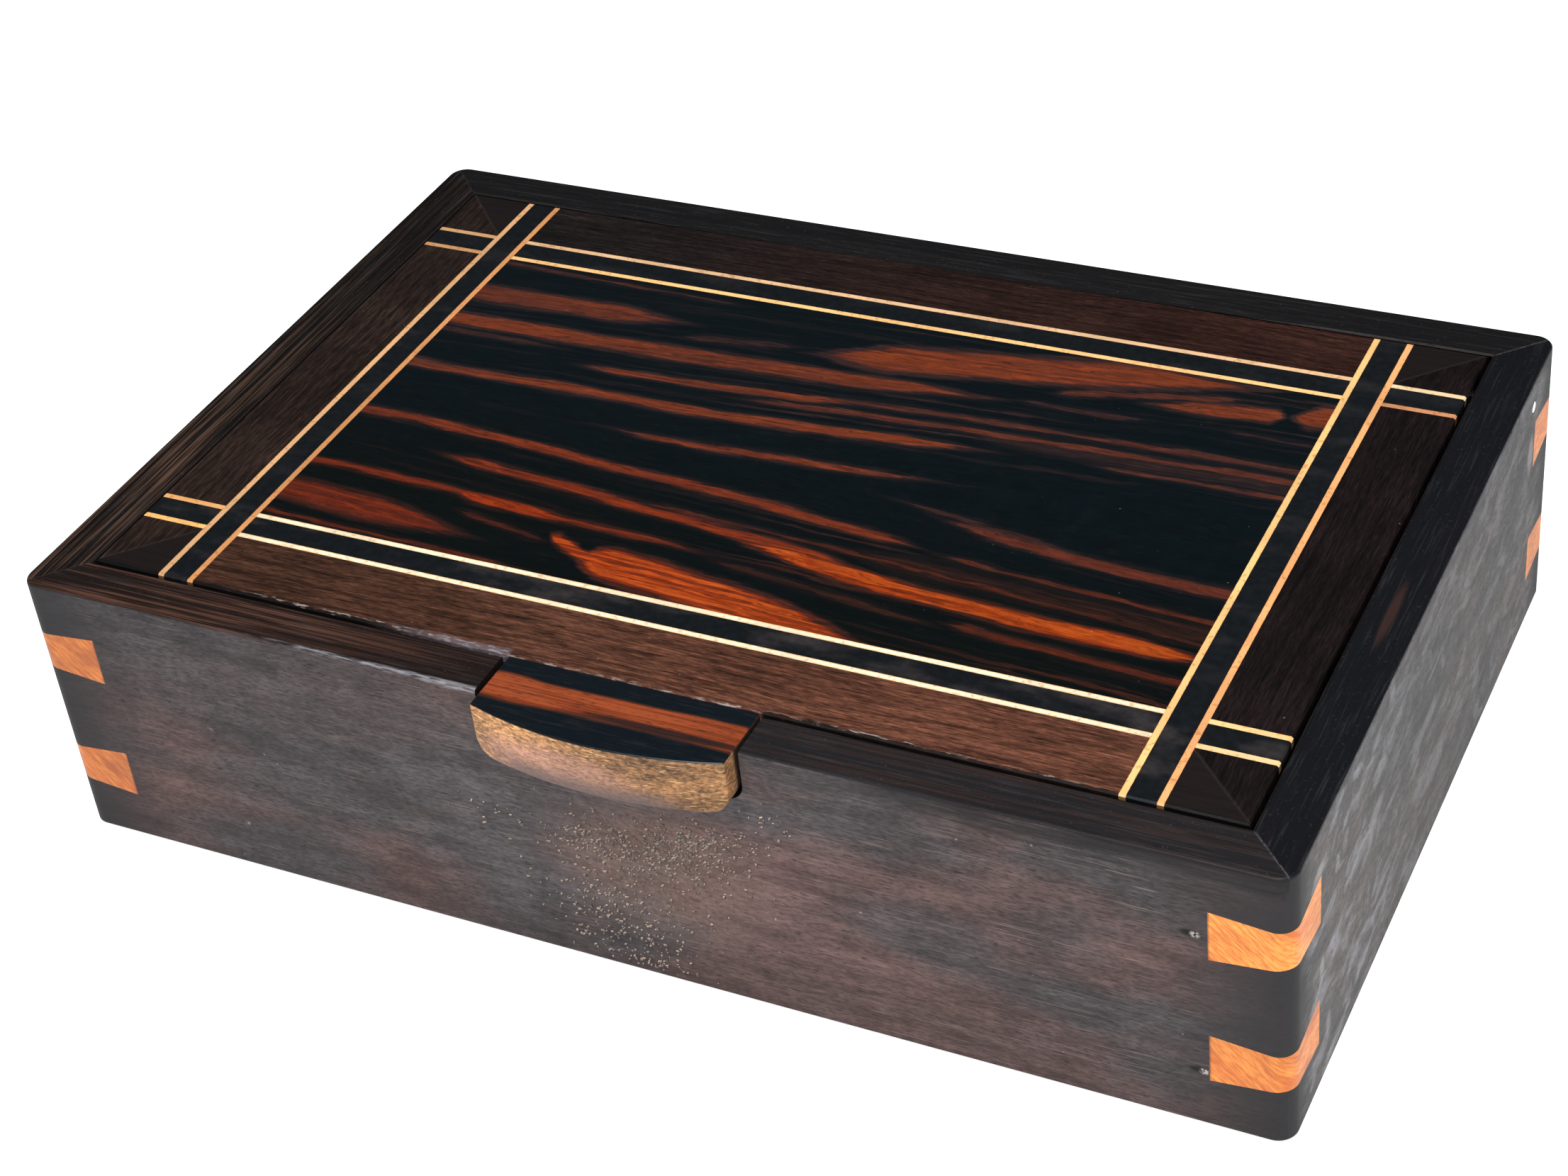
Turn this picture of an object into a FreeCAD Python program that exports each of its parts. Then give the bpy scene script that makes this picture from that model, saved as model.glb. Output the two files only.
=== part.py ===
import FreeCAD, Part
import os
import Sketcher
from FreeCAD import Rotation, Vector

# Inlaid wooden box with an inset lid.  Millimetres.
# Origin: centre of the base, on the surface that the box stands on.
# +X is the box's right, +Y its back and +Z up, so the pull tab points to -Y.

doc = FreeCAD.newDocument("InlaidBox")

# ---------------------------------------------------------------- sizes

SIZES = [
    ("box_width", 300.0, "outside, left to right"),
    ("box_depth", 198.0, "outside, front to back"),
    ("box_height", 72.0, "base to rim"),
    ("wall", 12.0, "wall thickness"),
    ("corner_radius", 4.5, "upright outside corners"),
    ("rim_radius", 0.8, "outer edge of the rim"),
    ("foot_chamfer", 0.5, "outer edge of the base"),
    ("inner_chamfer", 0.3, "inner edge of the rim"),
    ("base_thickness", 6.0, "bottom panel"),
    ("rabbet", 6.0, "how far the bottom panel is let into each wall"),
    ("key_depth", 12.2, "corner key, along the diagonal from the sharp corner"),
    ("key_height", 12.7, "corner key, at its wide inner end"),
    ("key_flare", 8.0, "slope of a key's top and bottom, degrees"),
    ("key_level", 36.2, "middle height of the two keys of a corner"),
    ("key_spacing", 33.6, "from the lower key to the upper one"),
    ("side_gap", 1.0, "lid to left and right walls"),
    ("back_gap", 1.0, "lid to back wall"),
    ("front_gap", 0.6, "lid to front wall"),
    ("lid_proud", 0.5, "top of the lid above the rim"),
    ("lid_thickness", 14.0, "core and facing together"),
    ("lid_chamfer", 0.4, "top edge of the lid"),
    ("facing", 4.0, "border and centre panel thickness"),
    ("channel_depth", 2.2, "grooves that hold the inlay bands"),
    ("band_across", 239.5, "outer edge to outer edge of the left and right bands"),
    ("band_along", 136.5, "outer edge to outer edge of the front and back bands"),
    ("string_width", 1.5, "light stringing"),
    ("ebony_width", 6.4, "black strip between two strings"),
    ("tab_width", 60.0, "pull tab"),
    ("tab_shift", 2.0, "middle of the tab from the middle of the box"),
    ("tab_end_reach", 4.2, "tab beyond the front face at its two ends"),
    ("tab_bow", 4.4, "further reach at the middle of the tab"),
    ("tab_radius", 4.5, "lower edges of the tab and corners of its notch"),
    ("tab_softening", 0.6, "front edges of the tab"),
    ("notch_width", 62.3, "notch in the front wall for the tab"),
    ("tenon_width", 40.0, "tab's tenon in the lid core"),
    ("tenon_length", 6.0, "tab's tenon in the lid core"),
    ("tenon_height", 5.0, "tab's tenon in the lid core"),
    ("tenon_level", 2.5, "tenon above the underside of the lid"),
    ("pin_from_back", 19.6, "hinge axis from the outer back face"),
    ("pin_below_rim", 7.0, "hinge axis under the rim"),
    ("pin_radius", 1.6, "hinge pin"),
    ("pin_press", 0.01, "hinge pin over its hole in the wall, on the radius"),
    ("pin_running", 0.05, "bore in the lid over the pin, on the radius"),
    ("pin_in_lid", 11.0, "length of pin inside the lid"),
    ("bore_spare", 1.0, "bore deeper than the pin"),
    ("pin_chamfer", 0.3, "ends of a pin"),
    ("cove_radius", 10.35, "hollow in the back wall that clears the lid's rear edge"),
    ("back_bevel", 0.8, "inner edge of the rim over the cove"),
    ("relief_length", 230.0, "shallow relief along the back rim's inner edge"),
    ("relief_width", 5.2, "relief at its middle, across the rim"),
    ("relief_fall", 1.1, "relief at its middle, below the rim"),
    ("relief_shift", -8.0, "middle of the relief from the middle of the box"),
]

sheet = doc.addObject("Spreadsheet::Sheet", "Sizes")
for row, (alias, number, note) in enumerate(SIZES, start=1):
    sheet.set("A%d" % row, alias)
    sheet.set("B%d" % row, str(number))
    sheet.set("C%d" % row, note)
    sheet.setAlias("B%d" % row, alias)
doc.recompute()

# Places that several pieces share, as expressions of the sheet's cells.
HALF_WIDTH = "Sizes.box_width / 2"
HALF_DEPTH = "Sizes.box_depth / 2"
LID_HALF_WIDTH = "(Sizes.box_width / 2 - Sizes.wall - Sizes.side_gap)"
LID_FRONT = "(-Sizes.box_depth / 2 + Sizes.wall + Sizes.front_gap)"
LID_BACK = "(Sizes.box_depth / 2 - Sizes.wall - Sizes.back_gap)"
LID_TOP = "(Sizes.box_height + Sizes.lid_proud)"
LID_BOTTOM = "(Sizes.box_height + Sizes.lid_proud - Sizes.lid_thickness)"
FACING_BOTTOM = "(Sizes.box_height + Sizes.lid_proud - Sizes.facing)"
CHANNEL_FLOOR = "(Sizes.box_height + Sizes.lid_proud - Sizes.channel_depth)"
BAND_WIDTH = "(2 * Sizes.string_width + Sizes.ebony_width)"
PANEL_HALF_WIDTH = "(Sizes.band_across / 2 - 2 * Sizes.string_width - Sizes.ebony_width)"
PANEL_HALF_DEPTH = "(Sizes.band_along / 2 - 2 * Sizes.string_width - Sizes.ebony_width)"
PIN_Y = "(Sizes.box_depth / 2 - Sizes.pin_from_back)"
PIN_Z = "(Sizes.box_height - Sizes.pin_below_rim)"

parts = []


def value(expression):
    """The number that an expression gives."""
    result = sheet.evalExpression(expression)
    return float(getattr(result, "Value", result))


def bind(thing, **expressions):
    """Ties properties to expressions; a double underscore stands for a dot."""
    for prop, expression in expressions.items():
        thing.setExpression(prop.replace("__", "."), expression)


def place(thing, x="0", y="0", z="0"):
    bind(thing, Placement__Base__x=x, Placement__Base__y=y, Placement__Base__z=z)


def finished(thing, label):
    thing.Label = label
    parts.append(thing)
    return thing


# ---------------------------------------------------------------- sketching


def new_body(name):
    return doc.addObject("PartDesign::Body", name)


def origin_plane(body, role):
    return next(f for f in body.Origin.OriginFeatures if f.Role == role)


def new_sketch(body, name, role, lift=None):
    sketch = body.newObject("Sketcher::SketchObject", name)
    sketch.AttachmentSupport = (origin_plane(body, role), [""])
    sketch.MapMode = "FlatFace"
    if lift:
        sketch.setExpression("AttachmentOffset.Base.z", lift)
    return sketch


def pin_down(sketch, geometry, point, x, y):
    """Holds a point of a sketch at two expressions, measured from the origin."""
    for kind, expression in (("DistanceX", x), ("DistanceY", y)):
        number = value(expression)
        if abs(number) < 1e-9:
            axis = -2 if kind == "DistanceX" else -1
            sketch.addConstraint(Sketcher.Constraint("PointOnObject", geometry, point, axis))
            continue
        index = sketch.addConstraint(Sketcher.Constraint(kind, -1, 1, geometry, point, number))
        sketch.setExpression("Constraints[%d]" % index, expression)


def outline(body, name, role, corners, lift=None):
    """A closed counter-clockwise outline.  Each corner is (x, y), or (x, y, radius) where
    the side to the next corner is an arc that bulges outwards."""
    sketch = new_sketch(body, name, role, lift)
    spots = [Vector(value(c[0]), value(c[1]), 0) for c in corners]
    count = len(corners)
    for i, corner in enumerate(corners):
        start, end = spots[i], spots[(i + 1) % count]
        if len(corner) == 2:
            sketch.addGeometry(Part.LineSegment(start, end), False)
            continue
        chord = end - start
        radius = value(corner[2])
        rise = radius - (radius ** 2 - (chord.Length / 2) ** 2) ** 0.5
        outwards = Vector(chord.y, -chord.x, 0).normalize()
        middle = (start + end) * 0.5 + outwards * rise
        sketch.addGeometry(Part.Arc(start, middle, end), False)
    ends = [start_and_end(sketch, i, spots[i]) for i in range(count)]
    for i in range(count):
        after = (i + 1) % count
        sketch.addConstraint(Sketcher.Constraint("Coincident", i, ends[i][1], after, ends[after][0]))
    for i, corner in enumerate(corners):
        pin_down(sketch, i, ends[i][0], corner[0], corner[1])
        if len(corner) == 3:
            index = sketch.addConstraint(Sketcher.Constraint("Radius", i, value(corner[2])))
            sketch.setExpression("Constraints[%d]" % index, corner[2])
    return sketch


def start_and_end(sketch, index, start):
    """Point numbers of a side's first and last point; an arc may be stored the other way."""
    first = sketch.getPoint(index, 1)
    return (1, 2) if first.distanceToPoint(start) < 1e-6 else (2, 1)


def circle(body, name, role, x, y, radius, lift=None):
    sketch = new_sketch(body, name, role, lift)
    centre = Vector(value(x), value(y), 0)
    sketch.addGeometry(Part.Circle(centre, Vector(0, 0, 1), value(radius)), False)
    pin_down(sketch, 0, 3, x, y)
    index = sketch.addConstraint(Sketcher.Constraint("Radius", 0, value(radius)))
    sketch.setExpression("Constraints[%d]" % index, radius)
    return sketch


def rectangle(body, name, role, x0, x1, y0, y1, lift=None):
    return outline(body, name, role, [(x0, y0), (x1, y0), (x1, y1), (x0, y1)], lift)


# ---------------------------------------------------------------- features


def pad(body, sketch, length, midplane=False):
    feature = body.newObject("PartDesign::Pad", sketch.Name + "_pad")
    feature.Profile = sketch
    feature.Midplane = midplane
    feature.setExpression("Length", length)
    sketch.Visibility = False
    doc.recompute()
    return feature


def pocket(body, sketch, length, midplane=False, reverse=False):
    """Cuts a sketch out of a body, and makes sure that something was cut."""
    before = body.Shape.Volume
    feature = body.newObject("PartDesign::Pocket", sketch.Name + "_pocket")
    feature.Profile = sketch
    feature.Midplane = midplane
    feature.Reversed = reverse
    feature.setExpression("Length", length)
    sketch.Visibility = False
    doc.recompute()
    if body.Shape.Volume > before - 1.0:
        raise RuntimeError(feature.Name + " cuts nothing")
    return feature


def dress(body, kind, size, test):
    """A fillet or chamfer on every edge whose middle passes the test."""
    tip = body.Tip
    names = []
    for number, edge in enumerate(tip.Shape.Edges, start=1):
        middle = edge.valueAt((edge.FirstParameter + edge.LastParameter) / 2)
        if test(middle, edge):
            names.append("Edge%d" % number)
    feature = body.newObject("PartDesign::" + kind, body.Name + "_" + kind)
    feature.Base = (tip, names)
    feature.setExpression("Radius" if kind == "Fillet" else "Size", size)
    doc.recompute()
    return feature


def near(a, b, slack=0.01):
    return abs(a - b) < slack


def cut(name, base, tool):
    feature = doc.addObject("Part::Cut", name)
    feature.Base = base
    feature.Tool = tool
    return feature


def common(name, base, tool):
    feature = doc.addObject("Part::Common", name)
    feature.Base = base
    feature.Tool = tool
    return feature


def fuse(name, shapes):
    feature = doc.addObject("Part::MultiFuse", name)
    feature.Shapes = shapes
    return feature


# ---------------------------------------------------------------- corner keys

# Each key is a dovetail laid across its corner: the cutter is a wedge whose own +Y runs
# out along the corner's diagonal, with its wide end inwards.  The same cutter makes the
# slot in both walls, and the key is what the cutter shares with the box's outline.

CORNERS = [
    ("front_right", "Sizes.box_width / 2", "-Sizes.box_depth / 2", -45),
    ("back_right", "Sizes.box_width / 2", "Sizes.box_depth / 2", 45),
    ("back_left", "-Sizes.box_width / 2", "Sizes.box_depth / 2", 135),
    ("front_left", "-Sizes.box_width / 2", "-Sizes.box_depth / 2", 225),
]
LEVELS = [("lower", "-"), ("upper", "+")]
KEY_SPREAD = "(Sizes.key_depth + 2)"
KEY_HALF = "Sizes.key_height / 2"
KEY_HALF_OUT = "(Sizes.key_height / 2 - Sizes.key_depth * tan(Sizes.key_flare * 1 deg))"


def rounded_block():
    """The outside of the box, upright corners rounded and nothing else."""
    body = new_body("outline_block")
    x, y, r = HALF_WIDTH, HALF_DEPTH, "Sizes.corner_radius"
    near_x, near_y = "%s - %s" % (x, r), "%s - %s" % (y, r)
    corners = [
        ("-(%s)" % near_x, "-%s" % y),
        (near_x, "-%s" % y, r),
        (x, "-(%s)" % near_y),
        (x, near_y, r),
        (near_x, y),
        ("-(%s)" % near_x, y, r),
        ("-%s" % x, near_y),
        ("-%s" % x, "-(%s)" % near_y, r),
    ]
    pad(body, outline(body, "box_outline", "XY_Plane", corners), "Sizes.box_height")
    return body


def key_cutter(corner, x, y, diagonal, level, sign):
    wedge = doc.addObject("Part::Wedge", "cutter_%s_%s" % (corner, level))
    bind(
        wedge,
        Xmin="-" + KEY_SPREAD, Xmax=KEY_SPREAD, X2min="-" + KEY_SPREAD, X2max=KEY_SPREAD,
        Ymin="-Sizes.key_depth", Ymax="0",
        Zmin="-" + KEY_HALF, Zmax=KEY_HALF, Z2min="-" + KEY_HALF_OUT, Z2max=KEY_HALF_OUT,
    )
    wedge.Placement.Rotation = Rotation(Vector(0, 0, 1), diagonal - 90)
    place(wedge, x, y, "Sizes.key_level %s Sizes.key_spacing / 2" % sign)
    return wedge


def make_keys():
    """Makes the eight keys and returns their cutters by corner."""
    block = rounded_block()
    cutters = {}
    for corner, x, y, diagonal in CORNERS:
        cutters[corner] = []
        for level, sign in LEVELS:
            cutter = key_cutter(corner, x, y, diagonal, level, sign)
            cutters[corner].append(cutter)
            name = "%s_%s_key" % (corner, level)
            finished(common(name, cutter, block), name)
    return cutters


# ---------------------------------------------------------------- walls

# A wall is drawn with its outer face towards its own -Y, mitred at both ends, and is
# turned into place about Z.


def wall_blank(name, turn, half, outer):
    body = new_body(name + "_body")
    body.Placement.Rotation = Rotation(Vector(0, 0, 1), turn)
    cutback = "Sizes.corner_radius * (1 - sqrt(0.5))"
    flat = "(%s - Sizes.corner_radius)" % half
    inner = "(%s - Sizes.wall)" % half
    corners = [
        ("-" + flat, "-%s" % outer),
        (flat, "-%s" % outer, "Sizes.corner_radius"),
        ("%s - %s" % (half, cutback), "-(%s - %s)" % (outer, cutback)),
        (inner, "-(%s - Sizes.wall)" % outer),
        ("-" + inner, "-(%s - Sizes.wall)" % outer),
        ("-(%s - %s)" % (half, cutback), "-(%s - %s)" % (outer, cutback), "Sizes.corner_radius"),
    ]
    pad(body, outline(body, name + "_plan", "XY_Plane", corners), "Sizes.box_height")
    reach = "(%s - Sizes.wall + Sizes.rabbet)" % half
    rabbet = rectangle(
        body, name + "_rabbet", "XY_Plane", "-" + reach, reach,
        "-(%s - Sizes.wall + Sizes.rabbet)" % outer, "-(%s - 2 * Sizes.wall)" % outer,
    )
    pocket(body, rabbet, "Sizes.base_thickness", reverse=True)
    return body


def soften_wall(body, outer, inner_size):
    """Rounds the outer edge of the rim, and eases the base and the inner edge of the rim."""
    height, face = value("Sizes.box_height"), -value(outer)
    inner_face = face + value("Sizes.wall")
    corner = value("Sizes.corner_radius")
    dress(body, "Fillet", "Sizes.rim_radius", lambda m, e: near(m.z, height) and m.y < face + corner / 2)
    dress(body, "Chamfer", "Sizes.foot_chamfer", lambda m, e: near(m.z, 0) and m.y < face + corner / 2)
    dress(body, "Chamfer", inner_size, lambda m, e: near(m.z, height) and near(m.y, inner_face))


def cut_notch(body):
    """The opening in the front wall that the pull tab lies in."""
    left = "(Sizes.tab_shift - Sizes.notch_width / 2)"
    right = "(Sizes.tab_shift + Sizes.notch_width / 2)"
    r = "Sizes.tab_radius"
    above = "(Sizes.box_height + 1)"
    corners = [
        ("%s + %s" % (left, r), LID_BOTTOM),
        ("%s - %s" % (right, r), LID_BOTTOM, r),
        (right, "%s + %s" % (LID_BOTTOM, r)),
        (right, above),
        (left, above),
        (left, "%s + %s" % (LID_BOTTOM, r), r),
    ]
    pocket(body, outline(body, "notch", "XZ_Plane", corners), "2 * Sizes.box_depth", midplane=True)


def cut_cove(body):
    sketch = circle(body, "cove", "YZ_Plane", "-" + PIN_Y, PIN_Z, "Sizes.cove_radius")
    pocket(body, sketch, "Sizes.box_width - 2 * Sizes.wall", midplane=True)


def cut_pin_hole(body, name, along):
    radius = "Sizes.pin_radius - Sizes.pin_press"
    sketch = circle(body, name + "_pin_hole", "XZ_Plane", along, PIN_Z, radius)
    pocket(body, sketch, "2 * Sizes.box_width", midplane=True)


def relief_cutter():
    """A very large cylinder that dips into the back rim's inner edge.  Its axis runs down
    the relief's slope, and its radius gives the relief its length."""
    run, fall = "Sizes.relief_width", "Sizes.relief_fall"
    slant = "sqrt(%s ^ 2 + %s ^ 2)" % (run, fall)
    dip = "(%s * %s / %s)" % (run, fall, slant)
    radius = "((Sizes.relief_length / 2) ^ 2 / (2 * %s) + %s / 2)" % (dip, dip)
    back = "Sizes.wall"
    cylinder = doc.addObject("Part::Cylinder", "relief_cutter")
    bind(cylinder, Radius=radius, Height="4 * %s" % back)
    cylinder.Placement.Rotation = Rotation(Vector(1, 0, 0), -45)
    cylinder.setExpression("Placement.Rotation.Angle", "atan(%s / %s) - 90 deg" % (fall, run))
    raised = "(%s - %s)" % (radius, dip)
    place(
        cylinder,
        "Sizes.relief_shift",
        "Sizes.box_depth / 2 - Sizes.wall - (%s * %s + 2 * %s * %s) / %s" % (raised, fall, back, run, slant),
        "Sizes.box_height + (%s * %s - 2 * %s * %s) / %s" % (raised, run, back, fall, slant),
    )
    return cylinder


def make_walls(cutters):
    width, depth = "(Sizes.box_width / 2)", "(Sizes.box_depth / 2)"
    layout = [
        ("front_wall", 0, width, depth, ("front_left", "front_right")),
        ("right_wall", 90, depth, width, ("front_right", "back_right")),
        ("back_wall", 180, width, depth, ("back_right", "back_left")),
        ("left_wall", 270, depth, width, ("back_left", "front_left")),
    ]
    for name, turn, half, outer, corners in layout:
        body = wall_blank(name, turn, half, outer)
        if name == "front_wall":
            cut_notch(body)
        if name == "back_wall":
            soften_wall(body, outer, "Sizes.back_bevel")
            cut_cove(body)
        else:
            soften_wall(body, outer, "Sizes.inner_chamfer")
        if name == "right_wall":
            cut_pin_hole(body, name, PIN_Y)
        if name == "left_wall":
            cut_pin_hole(body, name, "-" + PIN_Y)
        tools = [cutter for corner in corners for cutter in cutters[corner]]
        if name == "back_wall":
            tools.append(relief_cutter())
        finished(cut(name, body, fuse(name + "_tools", tools)), name)


def make_bottom():
    body = new_body("bottom_panel")
    x = "(Sizes.box_width / 2 - Sizes.wall + Sizes.rabbet)"
    y = "(Sizes.box_depth / 2 - Sizes.wall + Sizes.rabbet)"
    sketch = rectangle(body, "bottom_plan", "XY_Plane", "-" + x, x, "-" + y, y)
    pad(body, sketch, "Sizes.base_thickness")
    finished(body, "bottom_panel")


def make_pins():
    length = "(Sizes.wall + Sizes.side_gap + Sizes.pin_in_lid)"
    for name, start in (
        ("right_hinge_pin", "Sizes.box_width / 2 - " + length),
        ("left_hinge_pin", "-Sizes.box_width / 2"),
    ):
        body = new_body(name)
        pad(body, circle(body, name + "_section", "YZ_Plane", "0", "0", "Sizes.pin_radius"), length)
        dress(body, "Chamfer", "Sizes.pin_chamfer", lambda m, e: e.isClosed())
        place(body, start, PIN_Y, PIN_Z)
        finished(body, name)


# ---------------------------------------------------------------- lid


def tenon_sketch(body, name):
    """Plan of the tab's tenon, that the lid core's mortise shares."""
    return rectangle(
        body, name, "XY_Plane",
        "Sizes.tab_shift - Sizes.tenon_width / 2", "Sizes.tab_shift + Sizes.tenon_width / 2",
        LID_FRONT + " - Sizes.tenon_length", LID_FRONT + " + Sizes.tenon_length", lift="Sizes.tenon_level",
    )


def make_lid_core():
    body = new_body("lid_core")
    half = LID_HALF_WIDTH
    plan = rectangle(body, "core_plan", "XY_Plane", "-" + half, half, LID_FRONT, LID_BACK)
    pad(body, plan, "Sizes.lid_thickness - Sizes.facing")
    pocket(body, tenon_sketch(body, "mortise"), "Sizes.tenon_height", reverse=True)
    bore = circle(
        body, "pin_bore", "YZ_Plane", PIN_Y, "%s - %s" % (PIN_Z, LID_BOTTOM),
        "Sizes.pin_radius + Sizes.pin_running", lift=half,
    )
    right_bore = pocket(body, bore, "Sizes.pin_in_lid + Sizes.bore_spare")
    both = body.newObject("PartDesign::Mirrored", "both_bores")
    both.Originals = [right_bore]
    both.MirrorPlane = (origin_plane(body, "YZ_Plane"), [""])
    body.Tip = both
    place(body, z=LID_BOTTOM)
    finished(body, "lid_core")


def lid_envelope():
    """The lid's whole outside, with its top edge eased, that trims what reaches the edge."""
    body = new_body("lid_envelope")
    half = LID_HALF_WIDTH
    plan = rectangle(body, "envelope_plan", "XY_Plane", "-" + half, half, LID_FRONT, LID_BACK)
    pad(body, plan, "Sizes.lid_thickness")
    top = value("Sizes.lid_thickness")
    dress(body, "Chamfer", "Sizes.lid_chamfer", lambda m, e: near(m.z, top))
    place(body, z=LID_BOTTOM)
    return body


def band_strips(edge):
    """Name, near edge and width of a band's three strips, counted outwards from its inner
    edge, which lies its own width inside the expression given."""
    inner = "(%s - %s)" % (edge, BAND_WIDTH)
    string, black = "Sizes.string_width", "Sizes.ebony_width"
    return [
        ("inner_string", inner, string),
        ("ebony", "(%s + %s)" % (inner, string), black),
        ("outer_string", "(%s + %s + %s)" % (inner, string, black), string),
    ]


def block(name, x, y, z, length, width, height):
    box = doc.addObject("Part::Box", name)
    bind(box, Length=length, Width=width, Height=height)
    place(box, x, y, z)
    return box


def make_inlay(envelope):
    """The left and right bands run the whole depth of the lid.  The front and back bands
    stop against them, and go on as short stubs from them to the lid's sides."""
    across, along = "(Sizes.band_across / 2)", "(Sizes.band_along / 2)"
    lid_depth = "(%s - %s)" % (LID_BACK, LID_FRONT)
    stub = "(%s - %s)" % (LID_HALF_WIDTH, across)
    runs = [
        ("", "-" + PANEL_HALF_WIDTH, "2 * " + PANEL_HALF_WIDTH),
        ("_left_stub", "-" + LID_HALF_WIDTH, stub),
        ("_right_stub", across, stub),
    ]
    for strip, start, width in band_strips(across):
        for side, x in (("right", start), ("left", "-%s - %s" % (start, width))):
            name = "%s_%s" % (side, strip)
            box = block(name + "_box", x, LID_FRONT, CHANNEL_FLOOR, width, lid_depth, "Sizes.channel_depth")
            finished(common(name, box, envelope), name)
    for strip, start, width in band_strips(along):
        for side, y in (("back", start), ("front", "-%s - %s" % (start, width))):
            for run, x, length in runs:
                name = "%s_%s%s" % (side, strip, run)
                box = block(name + "_box", x, y, CHANNEL_FLOOR, length, width, "Sizes.channel_depth")
                finished(common(name, box, envelope), name)


def make_channels():
    """Tool for the four crossing channels that the bands are let into."""
    tall = "2 * Sizes.channel_depth"
    across, along = "(Sizes.band_across / 2)", "(Sizes.band_along / 2)"
    tools = []
    for side, x in (("right", PANEL_HALF_WIDTH), ("left", "-" + across)):
        tools.append(block(side + "_channel", x, "-" + HALF_DEPTH, CHANNEL_FLOOR, BAND_WIDTH, "Sizes.box_depth", tall))
    for side, y in (("back", PANEL_HALF_DEPTH), ("front", "-" + along)):
        tools.append(block(side + "_channel", "-" + HALF_WIDTH, y, CHANNEL_FLOOR, "Sizes.box_width", BAND_WIDTH, tall))
    return fuse("channels", tools)


def make_borders(envelope):
    """Four mitred border boards round the centre panel, under and outside the bands."""
    x_out, y_front, y_back = LID_HALF_WIDTH, LID_FRONT, LID_BACK
    x_in, y_in = PANEL_HALF_WIDTH, PANEL_HALF_DEPTH
    boards = {
        "front_border": [("-" + x_out, y_front), (x_out, y_front), (x_in, "-" + y_in), ("-" + x_in, "-" + y_in)],
        "right_border": [(x_out, y_front), (x_out, y_back), (x_in, y_in), (x_in, "-" + y_in)],
        "back_border": [(x_out, y_back), ("-" + x_out, y_back), ("-" + x_in, y_in), (x_in, y_in)],
        "left_border": [("-" + x_out, y_back), ("-" + x_out, y_front), ("-" + x_in, "-" + y_in), ("-" + x_in, y_in)],
    }
    channels = make_channels()
    for name, corners in boards.items():
        body = new_body(name + "_body")
        pad(body, outline(body, name + "_plan", "XY_Plane", corners), "Sizes.facing")
        place(body, z=FACING_BOTTOM)
        trimmed = common(name + "_trimmed", body, envelope)
        finished(cut(name, trimmed, channels), name)


def make_centre_panel():
    body = new_body("centre_panel")
    x, y = PANEL_HALF_WIDTH, PANEL_HALF_DEPTH
    pad(body, rectangle(body, "panel_plan", "XY_Plane", "-" + x, x, "-" + y, y), "Sizes.facing")
    place(body, z=FACING_BOTTOM)
    finished(body, "centre_panel")


def make_pull_tab():
    """A block with a bowed front, tenoned into the front edge of the lid core."""
    body = new_body("pull_tab")
    half = "(Sizes.tab_width / 2)"
    left, right = "Sizes.tab_shift - " + half, "Sizes.tab_shift + " + half
    ends = "(-Sizes.box_depth / 2 - Sizes.tab_end_reach)"
    bow = "(%s ^ 2 + Sizes.tab_bow ^ 2) / (2 * Sizes.tab_bow)" % half
    thickness = "Sizes.lid_thickness - Sizes.lid_proud"
    corners = [(left, ends, bow), (right, ends), (right, LID_FRONT), (left, LID_FRONT)]
    pad(body, outline(body, "tab_plan", "XY_Plane", corners), thickness)
    front, top = value(ends), value(thickness)

    def along_side(middle, height):
        offset = abs(middle.x - value("Sizes.tab_shift"))
        return near(offset, value(half)) and near(middle.z, height) and middle.y > front

    dress(body, "Fillet", "Sizes.tab_radius", lambda m, e: along_side(m, 0))
    dress(body, "Fillet", "Sizes.tab_softening", lambda m, e: m.y < front + 0.01 or along_side(m, top))
    pad(body, tenon_sketch(body, "tenon"), "Sizes.tenon_height")
    place(body, z=LID_BOTTOM)
    finished(body, "pull_tab")


# ---------------------------------------------------------------- assembly


def check():
    """Stops before writing if any object failed or any sub-part isn't one sound solid."""
    for thing in doc.Objects:
        if "Invalid" in thing.State or "Error" in thing.State:
            raise RuntimeError("%s is %s" % (thing.Label, thing.State))
    for part in parts:
        if part.Shape.isNull() or not part.Shape.isValid() or len(part.Shape.Solids) != 1:
            raise RuntimeError(part.Label + " isn't one valid solid")


make_walls(make_keys())
make_bottom()
make_pins()
make_lid_core()
envelope = lid_envelope()
make_borders(envelope)
make_centre_panel()
make_inlay(envelope)
make_pull_tab()
doc.recompute()
check()

os.makedirs("parts", exist_ok=True)
for part in parts:
    part.Shape.exportStep("parts/%s.step" % part.Label)
print("%d sub-parts written" % len(parts))
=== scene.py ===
"""Looks of the inlaid wooden box: wood finishes on the CAD nodes, dried drops of finish, light, camera.

Lengths in the materials are in millimetres of the CAD frame: X to the right, Y to the back, Z up.
Tones given by linear() are display values from 0 to 255, and all others are scene-linear.
"""

import math
import random

import bmesh
import bpy
from mathutils import Matrix, Quaternion, Vector


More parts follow.
